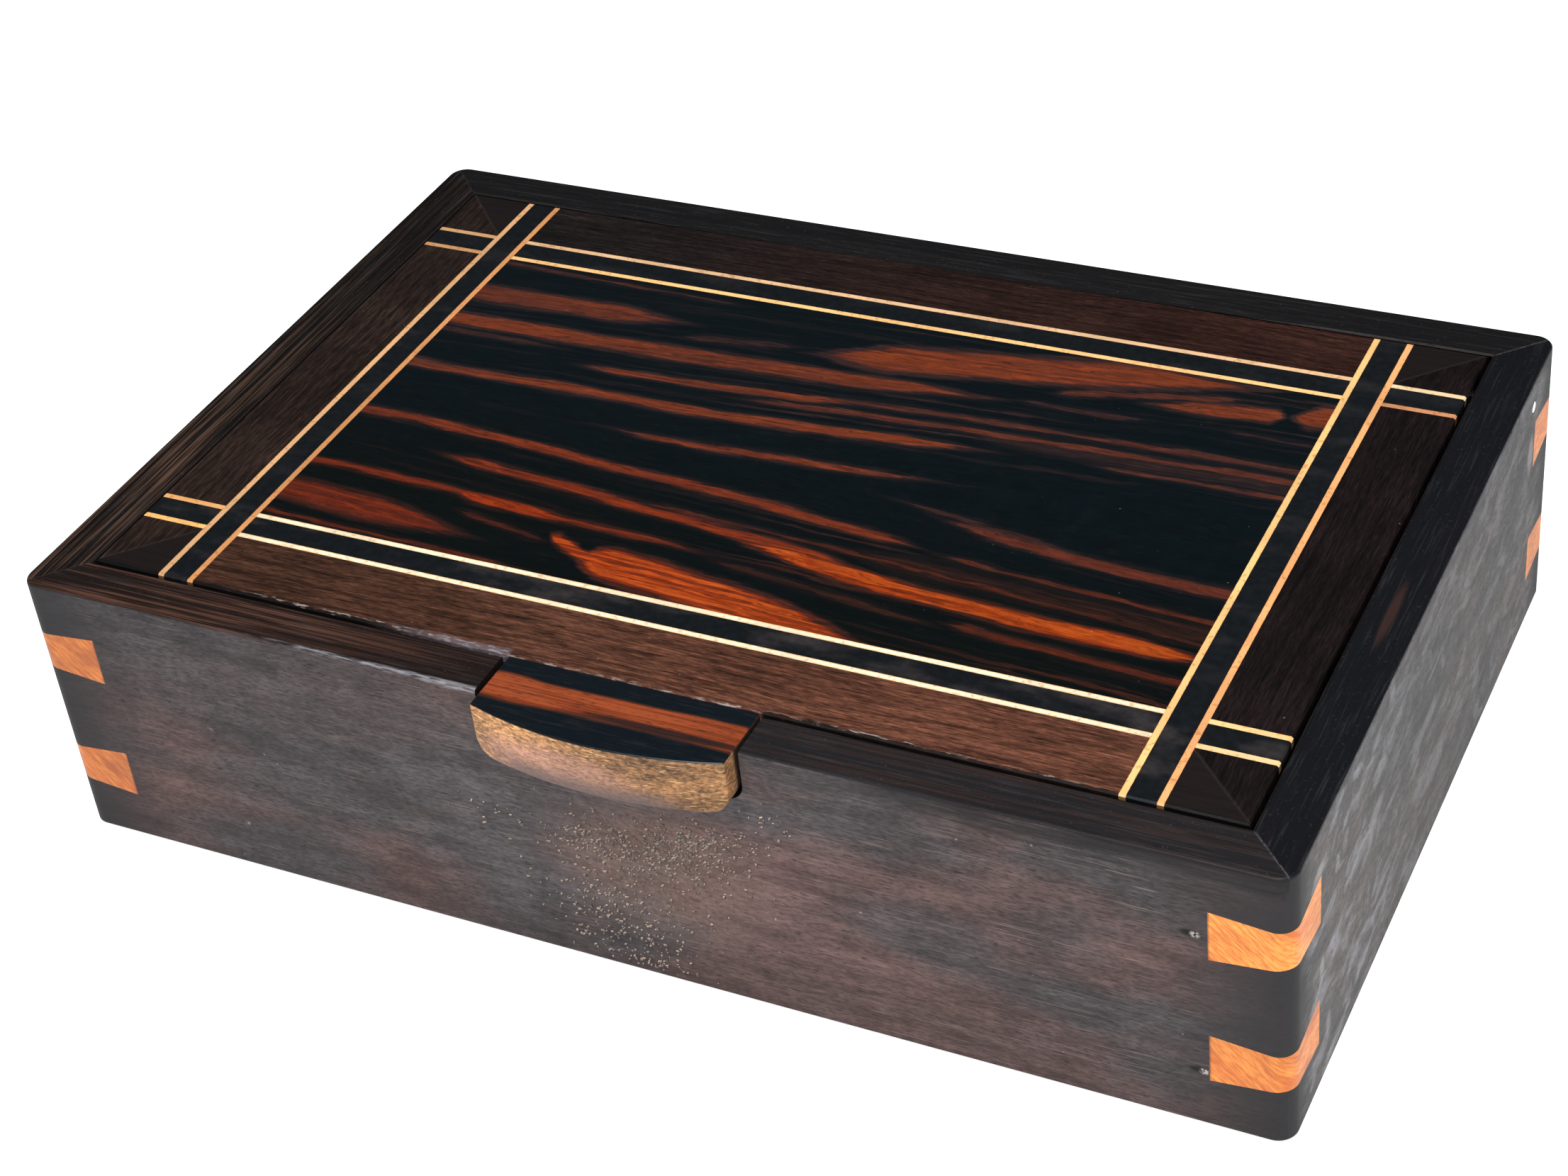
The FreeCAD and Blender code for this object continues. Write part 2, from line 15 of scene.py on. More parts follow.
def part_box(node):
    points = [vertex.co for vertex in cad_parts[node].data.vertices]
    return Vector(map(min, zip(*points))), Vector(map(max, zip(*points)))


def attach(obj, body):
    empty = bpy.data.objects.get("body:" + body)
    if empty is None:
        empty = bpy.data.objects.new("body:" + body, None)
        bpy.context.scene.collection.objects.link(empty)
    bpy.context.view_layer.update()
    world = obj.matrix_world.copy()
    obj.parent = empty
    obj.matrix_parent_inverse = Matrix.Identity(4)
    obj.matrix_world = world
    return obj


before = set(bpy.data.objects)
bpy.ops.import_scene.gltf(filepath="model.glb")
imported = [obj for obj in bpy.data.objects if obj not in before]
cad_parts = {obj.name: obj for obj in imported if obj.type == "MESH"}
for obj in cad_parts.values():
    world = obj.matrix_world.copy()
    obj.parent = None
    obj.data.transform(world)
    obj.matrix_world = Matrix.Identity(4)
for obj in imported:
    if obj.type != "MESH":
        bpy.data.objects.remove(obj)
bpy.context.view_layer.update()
MM = 0.001


def nodes_box(*names):
    """Lowest and highest corner of several CAD nodes together, in millimetres."""
    boxes = [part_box(name) for name in names]
    low = [min(b[0][axis] for b in boxes) / MM for axis in range(3)]
    high = [max(b[1][axis] for b in boxes) / MM for axis in range(3)]
    return Vector(low), Vector(high)


CASE_LOW, CASE_HIGH = nodes_box("front_wall", "back_wall", "left_wall", "right_wall")
PANEL_LOW, PANEL_HIGH = nodes_box("centre_panel")
LID_LOW, LID_HIGH = nodes_box("front_border", "back_border")
TAB_LOW, TAB_HIGH = nodes_box("pull_tab")
KEY_END = nodes_box("front_right_upper_key")[0].x  # inner end of a key's front face
WALL = nodes_box("left_wall")[1].x - CASE_LOW.x
CASE_SKEW = CASE_HIGH.x - CASE_HIGH.y  # |x| - |y| along the walls' mitres
LID_SKEW = LID_HIGH.x - LID_HIGH.y  # and along the borders' mitres


# ---------------------------------------------------------------- node trees


class Graph:
    """Short calls that add nodes to one tree. An input is a number, a colour or a node's output."""

    def __init__(self, tree):
        self.tree = tree

    def put(self, socket, value):
        if isinstance(value, bpy.types.NodeSocket):
            self.tree.links.new(value, socket)
        elif hasattr(value, "__len__") and len(value) == 3 and socket.type == "RGBA":
            socket.default_value = (*value, 1.0)
        else:
            socket.default_value = value

    def add(self, kind, inputs, **settings):
        node = self.tree.nodes.new(kind)
        for key, value in settings.items():
            setattr(node, key, value)
        for key, value in inputs.items():
            self.put(node.inputs[key], value)
        return node

    def math(self, operation, first, second=0.0, third=0.0):
        inputs = {0: first, 1: second, 2: third}
        return self.add("ShaderNodeMath", inputs, operation=operation).outputs[0]

    def times(self, first, second):
        return self.math("MULTIPLY", first, second)

    def plus(self, first, second):
        return self.math("ADD", first, second)

    def minus(self, first, second):
        return self.math("SUBTRACT", first, second)

    def absolute(self, value):
        return self.math("ABSOLUTE", value)

    def most(self, *values):
        top = values[0]
        for value in values[1:]:
            top = self.math("MAXIMUM", top, value)
        return top

    def product(self, *values):
        total = values[0]
        for value in values[1:]:
            total = self.times(total, value)
        return total

    def map_range(self, value, low, high, start, end, **settings):
        inputs = {"Value": value, "From Min": low, "From Max": high, "To Min": start, "To Max": end}
        return self.add("ShaderNodeMapRange", inputs, **settings).outputs[0]

    def fade(self, value, low, high, start=0.0, end=1.0):
        """start at low, end at high, smooth between and held outside."""
        return self.map_range(value, low, high, start, end, interpolation_type="SMOOTHSTEP")

    def line(self, value, low, high, start=0.0, end=1.0):
        """start at low, end at high, on a straight line that goes on outside."""
        return self.map_range(value, low, high, start, end, clamp=False)

    def vector(self, operation, first, second=(0.0, 0.0, 0.0), third=(0.0, 0.0, 0.0)):
        inputs = {0: first, 1: second, 2: third}
        return self.add("ShaderNodeVectorMath", inputs, operation=operation)

    def split(self, vector):
        return self.add("ShaderNodeSeparateXYZ", {0: vector}).outputs

    def flat(self, x, y):
        """A place in the plane z = 0."""
        return self.add("ShaderNodeCombineXYZ", {0: x, 1: y, 2: 0.0}).outputs[0]


HALO = 1.5  # how far the dull edge of a streak reaches beyond its bright part, in millimetres


def streak_group():
    """One tapering streak of figure along a shallow arc, as a node group that is used many times."""
    tree = bpy.data.node_groups.new("Streak", "ShaderNodeTree")
    for name in ("X", "Y", "X0", "X1", "Y0", "Y1", "Bow", "Width", "Start", "End", "Strength"):
        tree.interface.new_socket(name, in_out="INPUT", socket_type="NodeSocketFloat")
    tree.interface.new_socket("Value", in_out="OUTPUT", socket_type="NodeSocketFloat")
    g = Graph(tree)
    given = tree.nodes.new("NodeGroupInput").outputs
    along = g.line(given["X"], given["X0"], given["X1"])
    rest = g.minus(1.0, along)
    chord = g.line(along, 0.0, 1.0, given["Y0"], given["Y1"])
    bulge = g.product(along, rest, given["Bow"], 4.0)
    away = g.absolute(g.minus(given["Y"], g.plus(chord, bulge)))
    taper = g.times(g.fade(along, 0.0, given["Start"]), g.fade(rest, 0.0, given["End"]))
    reach = g.times(g.plus(given["Width"], HALO), taper)
    inside = g.minus(g.minus(reach, HALO), away)
    soft = g.math("MULTIPLY_ADD", given["Width"], 0.36, 0.25)
    core = g.times(g.fade(inside, -0.3, soft), given["Strength"])
    glow = g.product(g.fade(inside, -HALO, 0.4), given["Strength"], 0.46)
    value = g.most(core, glow)
    taken = tree.nodes.new("NodeGroupOutput")
    g.put(taken.inputs["Value"], value)
    return tree


STREAK = streak_group()


class Finish(Graph):
    """A material on a Principled shader, worked out from the place on the object."""

    def __init__(self, name, specular=0.5):
        self.material = bpy.data.materials.new(name)
        self.material.use_nodes = True
        super().__init__(self.material.node_tree)
        self.tree.nodes.clear()
        self.shader = self.tree.nodes.new("ShaderNodeBsdfPrincipled")
        self.shader.inputs["Specular IOR Level"].default_value = specular
        output = self.tree.nodes.new("ShaderNodeOutputMaterial")
        self.put(output.inputs["Surface"], self.shader.outputs[0])
        found = self.tree.nodes.new("ShaderNodeTexCoord").outputs
        scaled = self.vector("SCALE", found["Object"])
        scaled.inputs["Scale"].default_value = 1.0 / MM
        self.place = scaled.outputs[0]
        self.x, self.y, self.z = self.split(self.place)
        self.face_x, _, self.face_z = self.split(found["Normal"])

    def grain(self, scale, seed, detail=2.0, distortion=0.0, place=None, fine=0.5):
        """Noise from 0 to 1. scale is cells per millimetre along each axis; fine weighs small detail."""
        offset = (seed * 7.31, seed * 3.17, seed * 5.73)
        at = self.vector("MULTIPLY_ADD", place or self.place, scale, offset).outputs[0]
        inputs = {"Vector": at, "Scale": 1.0, "Detail": detail, "Distortion": distortion, "Roughness": fine}
        return self.add("ShaderNodeTexNoise", inputs).outputs[0]

    def spot(self, centre, radii):
        """1 at centre, falling to 0 at an ellipsoid of those radii."""
        scale = [1.0 / r for r in radii]
        offset = [-c / r for c, r in zip(centre, radii)]
        at = self.vector("MULTIPLY_ADD", self.place, scale, offset).outputs[0]
        return self.fade(self.vector("LENGTH", at).outputs["Value"], 1.0, 0.35)

    def past_mitre(self, skew):
        """How far a place is past a mitre's line, towards the object's left or right."""
        return self.minus(self.minus(self.absolute(self.x), self.absolute(self.y)), skew)

    def mix(self, factor, under, over):
        """under where factor is 0, over where it is 1."""
        inputs = {0: factor, 6: under, 7: over}
        return self.add("ShaderNodeMix", inputs, data_type="RGBA").outputs[2]

    def scaled(self, colour, factor):
        """colour brightened or darkened by one factor."""
        node = self.tree.nodes.new("ShaderNodeVectorMath")
        node.operation = "SCALE"
        self.put(node.inputs[0], colour)
        self.put(node.inputs["Scale"], factor)
        return node.outputs[0]

    def tinted(self, colour, red, green, blue):
        """colour with each channel multiplied."""
        return self.vector("MULTIPLY", colour, (red, green, blue)).outputs[0]

    def ramp(self, value, stops):
        node = self.add("ShaderNodeValToRGB", {0: value})
        band = node.color_ramp
        band.interpolation = "EASE"
        while len(band.elements) < len(stops):
            band.elements.new(0.5)
        for element, (position, colour) in zip(band.elements, stops):
            element.position = position
            element.color = (*colour, 1.0)
        return node.outputs[0]

    def streak(self, x, y, row):
        start_x, start_y, end_x, end_y, bow, width, start, end, strength = row
        node = self.tree.nodes.new("ShaderNodeGroup")
        node.node_tree = STREAK
        values = (x, y, start_x, end_x, start_y, end_y, bow, width, start, end, strength)
        for socket, value in zip(node.inputs, values):
            self.put(socket, value)
        return node.outputs[0]

    def finish(self, colour, roughness, height=None, bump=0.2, depth=0.15):
        self.put(self.shader.inputs["Base Color"], colour)
        self.put(self.shader.inputs["Roughness"], roughness)
        if height is not None:
            inputs = {"Height": height, "Strength": bump, "Distance": depth * MM}
            relief = self.add("ShaderNodeBump", inputs)
            self.put(self.shader.inputs["Normal"], relief.outputs[0])
        return self.material


def linear(red, green, blue):
    """A colour given as 0 to 255 display values, as scene-linear."""
    return tuple(
        (c / 255 / 12.92) if c / 255 <= 0.04045 else ((c / 255 + 0.055) / 1.055) ** 2.4
        for c in (red, green, blue)
    )


# ---------------------------------------------------------------- materials

# painted shade in the gaps between the lid and the walls, and in the tab's notch
PAINTED_GAP_SHADE = (0.004, 0.0035, 0.0035)  # between the lid and the walls
CHARCOAL = (0.021, 0.0205, 0.0225)  # the walls round the keys
WORN_EDGE = (0.27, 0.265, 0.29)  # rubbed wood on the front wall's top edge

# Figure of the centre panel, left to right: start, end, bow at the middle, half width,
# tapered share at the start and the end, strength.
FIGURE = (
    (-118, 57, -25, 55.5, 0, 0.8, 0.1, 0.3, 0.42),
    (-128, 42, -38, 44, 0, 4.2, 0.05, 0.4, 0.66),
    (-56, 37, -14, 42.8, 0, 1.6, 0.3, 0.3, 0.36),
    (-128, 30, 56, 37.2, -2.2, 3.1, 0.03, 0.3, 0.70),
    (30, 36.2, 84, 38, 0, 0.9, 0.3, 0.4, 0.36),
    (-128, 24.6, -55, 24.6, 0, 1.2, 0.1, 0.5, 0.34),
    (-82, 18.2, 26, 25, 0, 1.5, 0.25, 0.35, 0.68),
    (-26, 22.7, 134, 28.2, 1.5, 1.2, 0.2, 0.03, 0.46),
    (-44, 17, 134, 25, 1.0, 1.2, 0.2, 0.03, 0.56),
    (-128, 8.3, 62, 17, -2.8, 2.1, 0.03, 0.25, 0.72),
    (56, 16.9, 138, 18.5, 0, 0.9, 0.2, 0.05, 0.56),
    (16, 20, 138, 23, 0, 3.8, 0.3, 0.05, 0.25),
    (-78, -2.4, 64, 2.8, -2.3, 1.5, 0.4, 0.4, 0.66),
    (28, -9.5, 142, -18.5, -3.5, 2.3, 0.25, 0.05, 0.54),
    (14, -5.5, 86, -15, -1.0, 0.6, 0.3, 0.3, 0.36),
    (-132, -14.2, 54, -26, 3.6, 1.7, 0.03, 0.15, 0.70),
    (34, -24.7, 142, -30.5, -0.6, 0.8, 0.2, 0.05, 0.52),
    (-96, -24, 46, -38, 2.1, 1.7, 0.2, 0.2, 0.74),
    (-18, -30.2, 126, -40.4, -4.5, 2.9, 0.3, 0.2, 1.0),
    (-50, -25.2, 130, -37.8, 0, 0.7, 0.2, 0.1, 0.46),
    (4, -29.8, 142, -34.5, 0, 3.2, 0.3, 0.05, 0.27),
    (-132, -35.2, 20, -41.8, 0.9, 1.5, 0.03, 0.3, 0.70),
    (-80, -37.2, -28, -38.8, 0, 2.0, 0.35, 0.35, 0.85),
    (-72, -42, -34, -49, 0, 1.2, 0.3, 0.3, 0.42),
    (-16, -40.5, 68, -49.6, 0, 1.2, 0.3, 0.3, 0.31),
    (-152, -46, -42, -52.2, 0, 4.8, 0.03, 0.4, 0.64),
    (-118, -57.6, -26, -58.5, 0, 0.8, 0.1, 0.3, 0.50),
    (-38, -49.2, 62, -62.6, 0.8, 6.2, 0.16, 0.5, 1.0),
    (-43, -42.8, -23, -52, -1.2, 2.2, 0.25, 0.3, 0.95),
    (-26, 38.6, 112, 59.6, 1.5, 6.4, 0.25, 0.42, 0.74),
    (40, 41, 100, 54, 0, 1.4, 0.2, 0.3, 0.52),
    (58, 42.6, 103, 48.4, 0, 3.3, 0.6, 0.12, 0.70),
    (99, 48, 135, 56, 0, 5.0, 0.25, 0.05, 0.74),
    (84, 38, 118, 39, 0, 0.7, 0.3, 0.3, 0.3),
    (50, -46.4, 138, -51.6, 0, 1.6, 0.15, 0.05, 0.52),
)


def panel_finish():
    """Striped ebony: near-black ground with orange and red-brown streaks, under a satin gloss."""
    m = Finish("panel_figure")
    heat, flowing = panel_streaks(m)
    lines = m.grain((0.012, 0.95, 1.0), 3, 3, place=flowing)
    hairs = m.grain((0.05, 3.2, 1.0), 4, 2, place=flowing)
    lit = m.product(heat, m.fade(lines, 0.3, 0.6, 0.76, 1.06), m.fade(hairs, 0.32, 0.6, 0.86, 1.04))
    wide = m.fade(m.grain((0.009, 0.2, 1.0), 5, 3, place=flowing), 0.44, 0.66)
    thin = m.fade(m.grain((0.011, 0.75, 1.0), 9, 3, place=flowing), 0.46, 0.66)
    smoke = m.product(wide, thin, m.fade(m.x, -70, 50, 0.18, 0.38))
    colour = m.ramp(m.most(lit, smoke), (
        (0.0, (0.0008, 0.0034, 0.0052)),
        (0.16, (0.0075, 0.0062, 0.0078)),
        (0.34, (0.032, 0.0145, 0.0135)),
        (0.52, (0.086, 0.0215, 0.0130)),
        (0.74, (0.165, 0.0320, 0.0110)),
        (0.88, (0.270, 0.0440, 0.0060)),
        (1.0, (0.410, 0.0900, 0.0150)),
    ))
    chatter = m.grain((0.10, 1.5, 1.0), 11, 6, place=flowing, fine=0.7)
    colour = m.scaled(colour, m.fade(chatter, 0.34, 0.66, 0.66, 1.28))
    redder = m.times(m.fade(m.y, 10, -40), m.fade(m.x, 60, -60, 0.5, 1.0))
    colour = m.mix(redder, colour, m.tinted(colour, 1.0, 0.62, 0.45))
    deeper = m.times(m.fade(m.x, 0, 45), m.fade(m.y, -20, -36))
    colour = m.mix(deeper, colour, m.tinted(colour, 0.90, 0.80, 0.62))
    pores = m.fade(m.grain((0.2, 3.6, 1.0), 7, 1, place=flowing), 0.60, 0.72)
    colour = m.mix(m.times(pores, 0.5), colour, (0.007, 0.005, 0.005))
    dust = m.times(m.fade(m.grain((0.8, 0.8, 0.8), 6, 1), 0.80, 0.85), m.fade(m.x, 30, 100))
    colour = m.mix(m.times(dust, 0.5), colour, (0.3, 0.26, 0.2))
    rough = m.line(m.grain((0.03, 0.3, 1), 8, 2), 0, 1, 0.18, 0.34)
    return m.finish(colour, rough, m.minus(hairs, pores), 0.12, 0.05)


def panel_streaks(m):
    """How much of the figure's colour shows, and a place that runs along its flowing lines."""
    sway = m.grain((0.02, 0.05, 0.05), 1, 2)
    ripple = m.grain((0.06, 0.5, 0.5), 2, 2)
    fray = m.grain((0.12, 1.3, 1.0), 10, 2)
    warp = m.plus(m.line(sway, 0, 1, -1.8, 1.8), m.line(ripple, 0, 1, -0.9, 0.9))
    warp = m.plus(warp, m.line(fray, 0, 1, -0.8, 0.8))
    across = m.plus(m.y, warp)
    heat = m.most(*(m.streak(m.x, across, row) for row in FIGURE))
    notch = m.spot((-30.2, -46.2, PANEL_HIGH.z), (2.8, 2.3, 9))
    heat = m.times(heat, m.minus(1.0, notch))

    # the fine lines fan out to the right of the panel as the streaks do
    spread = m.times(m.line(m.x, -125, 55, 0, 10), m.fade(m.y, -17, 11, -1, 1))
    return heat, m.flat(m.x, m.minus(across, spread))


def border_finish(name, along, seed, left, right):
    """A lid border: fine dark lines along it, one colour at each end and darker mitred corners."""
    m = Finish(name, specular=0.2)
    place, other = (m.x, m.y) if along == "x" else (m.y, m.x)
    wavy = m.line(m.grain((0.02, 0.02, 0.02), seed, 2), 0, 1, -1.6, 1.6)
    bent = m.flat(place, m.plus(other, wavy))
    lines = m.grain((0.05, 0.9, 1.0), seed + 1, 7, place=bent, fine=0.68)
    dashes = m.fade(m.grain((0.20, 2.4, 1.0), seed + 2, 3, place=bent), 0.53, 0.66)
    gleam = m.fade(m.grain((0.18, 2.4, 1.0), seed + 3, 3, place=bent), 0.54, 0.68)
    clouds = m.fade(m.grain((0.02, 0.05, 0.05), seed + 4, 3), 0.32, 0.68, 0.78, 1.22)
    flecks = m.grain((0.38, 2.3, 1.0), seed + 6, 4, place=bent, fine=0.7)
    colour = m.mix(m.fade(place, -105, 105), left, right)
    colour = m.scaled(colour, m.times(clouds, m.fade(lines, 0.3, 0.68, 0.42, 1.5)))
    colour = m.scaled(colour, m.fade(flecks, 0.34, 0.66, 0.62, 1.38))
    colour = m.mix(m.times(gleam, 0.6), colour, m.tinted(colour, 2.1, 2.0, 1.7))
    colour = m.mix(m.times(dashes, 0.65), colour, m.scaled(colour, 0.2))
    past_mitre = m.past_mitre(LID_SKEW)
    if along == "x":
        corner = m.fade(m.absolute(m.x), 113, 117)
        corner_wood = m.scaled(BORDER_CORNER, m.fade(lines, 0.3, 0.66, 0.88, 1.12))
        colour = m.mix(corner, colour, corner_wood)
        # painted shade: one triangle of each corner square lighter and the other darker, as light falls
        # differently on their grain
        mitre_shade = m.fade(past_mitre, -1.0, 1.0, 1.2, 0.8)
        colour = m.scaled(colour, m.line(corner, 0, 1, 1.0, mitre_shade))
    seam = m.fade(m.absolute(past_mitre), 0.7, 0.15)
    colour = m.mix(m.times(seam, 0.07), colour, (0.14, 0.12, 0.11))
    scuffs = m.fade(m.grain((0.7, 0.7, 0.7), seed + 5, 1), 0.79, 0.84)
    colour = m.mix(m.times(scuffs, 0.35), colour, (0.22, 0.20, 0.19))
    if name == "front_border_grain":
        colour = front_edge_shade_dust_highlight(m, colour)
    relief = m.times(m.minus(lines, dashes), m.fade(m.face_z, 0.3, 0.7))
    return m.finish(colour, m.line(lines, 0, 1, 0.38, 0.52), relief, 0.25, 0.08)


def front_edge_shade_dust_highlight(m, colour):
    """The lid's front edge: painted black shade at the gap, rubbed pale left of the tab, sparkling dust
    behind the gap and a painted highlight on the edge over the tab.
    """
    ragged = m.line(m.grain((0.3, 1.6, 1.6), 16, 5), 0, 1, -0.9, 0.9)
    from_edge = m.plus(m.minus(m.y, LID_LOW.y), ragged)
    over_tab = m.times(m.fade(m.x, TAB_LOW.x - 1, TAB_LOW.x), m.fade(m.x, TAB_HIGH.x + 1, TAB_HIGH.x))
    beside_tab = m.minus(1.0, over_tab)

    ridge = m.times(m.fade(m.x, -66, -34), m.fade(m.x, TAB_LOW.x + 1, TAB_LOW.x - 1))
    # painted shade: the edge goes black where it faces the gap
    black = m.product(m.fade(from_edge, 0.75, 0.45), m.line(ridge, 0, 1, 1.0, 0.2), beside_tab)
    colour = m.mix(m.times(black, 0.95), colour, PAINTED_GAP_SHADE)

    dust_and_glints = m.fade(m.grain((0.45, 2.0, 2.0), 17, 5), 0.48, 0.62)
    patchy = m.fade(m.grain((0.05, 0.1, 0.1), 18, 3), 0.4, 0.55, 0.15, 0.85)
    behind_gap = m.product(m.fade(from_edge, 1.15, 0.85), m.fade(from_edge, 0.3, 0.6), beside_tab)
    # painted highlight on the edge's chamfer over the tab; beside the tab the pale specks are dust
    chamfer_highlight = m.times(over_tab, m.fade(from_edge, 0.5, 0.2))
    ends = m.fade(m.absolute(m.x), 112, 90)
    dust_and_highlight = m.product(m.most(behind_gap, chamfer_highlight), dust_and_glints, patchy, ends)
    colour = m.mix(dust_and_highlight, colour, (0.36, 0.29, 0.26))

    rubbed = m.product(ridge, m.fade(from_edge, 1.9, 1.0), m.fade(dust_and_glints, 0, 1, 0.35, 0.95))
    return m.mix(rubbed, colour, (0.24, 0.21, 0.235))


def string_finish(node, seed, body):
    """One length of pale stringing with golden glue lines and short brown flecks."""
    m = Finish(node + "_wood")
    low, high = nodes_box(node)
    across, axis = (m.y, 1) if high.x - low.x > high.y - low.y else (m.x, 0)
    tone = m.grain((0.06, 0.06, 0.06), seed, 2)
    colour = m.scaled(body, m.fade(tone, 0.3, 0.7, 0.86, 1.1))
    flecks = m.fade(m.grain((0.8, 0.8, 0.8), seed + 1, 3), 0.56, 0.68)
    colour = m.mix(m.times(flecks, 0.55), colour, m.tinted(body, 0.55, 0.36, 0.22))

    wobble = m.line(m.grain((0.9, 0.9, 0.9), seed + 2, 4), 0, 1, -0.35, 0.35)
    off_middle = m.absolute(m.minus(m.plus(across, wobble), (low[axis] + high[axis]) / 2))
    half = (high[axis] - low[axis]) / 2
    stained = GLUE_STAIN_IN_FRONT if node in FRONT_STRINGS else GLUE_STAIN
    glue = m.times(m.fade(off_middle, half - stained, half), 0.85)
    colour = m.mix(glue, colour, m.tinted(body, 0.72, 0.50, 0.26))

    # darker on every face that doesn't face up
    not_facing_up = m.times(m.fade(m.face_z, 0.5, 0.2), 0.85)
    colour = m.mix(not_facing_up, colour, m.tinted(body, 0.12, 0.12, 0.12))
    return m.finish(colour, 0.42, flecks, 0.15, 0.05)


def ebony_finish():
    """Blue-black inlay bands, with a painted grey sheen in patches, strongest along the front."""
    m = Finish("black_band", specular=0.4)
    lines = m.grain((0.5, 0.5, 0.5), 31, 4)
    patches = m.fade(m.grain((0.06, 0.16, 0.1), 32, 6), 0.46, 0.72)
    front = m.fade(m.y, PANEL_LOW.y + 4, PANEL_LOW.y - 2)
    # painted sheen: greyer in patches, most of all along the front
    greyer = m.times(patches, m.plus(0.25, m.times(front, 0.75)))
    colour = m.mix(greyer, (0.0050, 0.0062, 0.0080), (0.027, 0.022, 0.023))
    colour = m.scaled(colour, m.fade(lines, 0.3, 0.7, 0.75, 1.2))
    return m.finish(colour, m.line(patches, 0, 1, 0.34, 0.5), lines, 0.12, 0.06)


class Wall(Finish):
    """A mitred wall: worn matte outside, dark rim, plainer inside. along is "x" or "y"."""

    def __init__(self, name, along, seed):
        super().__init__(name, specular=0.14)
        self.along = along
        self.seed = seed
        if along == "x":
            self.length, self.half_length = self.absolute(self.x), CASE_HIGH.x
            self.width, self.half_width = self.absolute(self.y), CASE_HIGH.y
        else:
            self.length, self.half_length = self.absolute(self.y), CASE_HIGH.y
            self.width, self.half_width = self.absolute(self.x), CASE_HIGH.x
        self.rim = self.fade(self.face_z, 0.45, 0.8)
        self.lines = self.streaks(0.045, 2.6, 3, 3)
        self.hairs = self.fade(self.streaks(0.07, 3.2, 4, 2), 0.56, 0.70)
        self.pores = self.fade(self.streaks(0.42, 2.8, 5, 2), 0.64, 0.70)
        self.grit = self.streaks(0.55, 1.9, 11, 4, 0.62)
        self.fibre = self.streaks(0.04, 0.26, 12, 9, 0.66)
        self.clouds = self.fade(self.grain((0.017, 0.017, 0.034), seed + 1, 5), 0.38, 0.62)

    def streaks(self, long_scale, cross_scale, number, detail=3, fine=0.5):
        """Noise drawn out along the wall."""
        scale = [cross_scale] * 3
        scale["xyz".index(self.along)] = long_scale
        return self.grain(tuple(scale), self.seed + number, detail, fine=fine)

    def outside(self, cool, warm, strength):
        """Grey-brown wood with cool clouds, fine long lines, pale hairs and dark pores."""
        colour = self.mix(self.clouds, cool, warm)
        mottle = self.grain((0.13, 0.13, 0.20), self.seed + 15, 6, 0.4, fine=0.62)
        patterns = ((self.fibre, 0.24), (mottle, 0.16), (self.lines, 0.10), (self.grit, 0.27))
        for pattern, swing in patterns:
            low, high = 1 - swing * strength, 1 + swing * strength
            colour = self.scaled(colour, self.fade(pattern, 0.34, 0.66, low, high))
        broken = self.fade(self.grain((0.07, 0.07, 0.14), self.seed + 13, 4), 0.44, 0.60, 0.1, 1.0)
        colour = self.mix(self.product(self.hairs, broken, 0.5 * strength), colour, (0.19, 0.135, 0.125))
        dust = self.fade(self.grain((0.55, 0.55, 0.55), self.seed + 7, 1), 0.79, 0.83)
        colour = self.mix(self.times(dust, 0.5), colour, (0.3, 0.27, 0.25))
        return self.mix(self.times(self.pores, 0.75), colour, (0.009, 0.008, 0.009))

    def darker_corner(self, colour):
        """Charcoal towards the rounded corners, round the keys."""
        reach, full, amount = (34, 1, 0.93) if self.along == "x" else (16, 3, 1.0)
        end = self.fade(self.length, self.half_length - reach, self.half_length - full, 0, amount)
        return self.mix(end, colour, CHARCOAL)

    def rim_wood(self, ground, stripe, amount):
        """The rim: stripes of brown where amount is high, fine pale scratches elsewhere, and painted shade
        along its inner edge by the lid's gap.
        """
        stripes = self.fade(self.streaks(0.014, 0.85, 8, 5, 0.65), 0.44, 0.60)
        fine = self.fade(self.streaks(0.05, 2.6, 10, 3), 0.38, 0.60, 0.2, 1.15)
        colour = self.mix(self.product(stripes, fine, amount), ground, stripe)
        seam = self.fade(self.absolute(self.past_mitre(CASE_SKEW)), 0.45, 0.1)
        seen = self.fade(self.x, -40, 40, 0.08, 0.38)
        seam = self.product(seam, self.fade(self.grit, 0.35, 0.6), seen)
        colour = self.mix(seam, colour, (0.16, 0.15, 0.15))
        inner = self.half_width - WALL
        # painted shade along the rim's inner edge, by the gap
        inner_edge_shade = self.fade(self.width, inner + 0.75, inner + 0.3)
        colour = self.mix(self.times(inner_edge_shade, 0.85), colour, PAINTED_GAP_SHADE)
        scratches = self.fade(self.grain((1.4, 1.4, 0.2), self.seed + 9, 4, 0.8), 0.62, 0.74)
        rubbed = self.fade(self.streaks(0.06, 1.6, 14, 5, 0.65), 0.52, 0.70)
        pale = self.most(self.times(scratches, 0.16), self.times(rubbed, 0.12))
        return self.mix(pale, colour, (0.12, 0.12, 0.13)), scratches

    def inside(self):
        """Plainer wood in the box, with painted near-black shade where the lid lies against it and in the
        tab's notch.
        """
        colour = self.mix(self.clouds, (0.040, 0.026, 0.022), (0.060, 0.038, 0.030))
        colour = self.scaled(colour, self.fade(self.lines, 0.3, 0.7, 0.55, 1.35))
        # painted shade where the lid lies against the wall
        shade_beside_lid = self.fade(self.z, LID_LOW.z - 11, LID_LOW.z - 9)
        return self.mix(self.times(shade_beside_lid, 0.8), colour, PAINTED_GAP_SHADE)

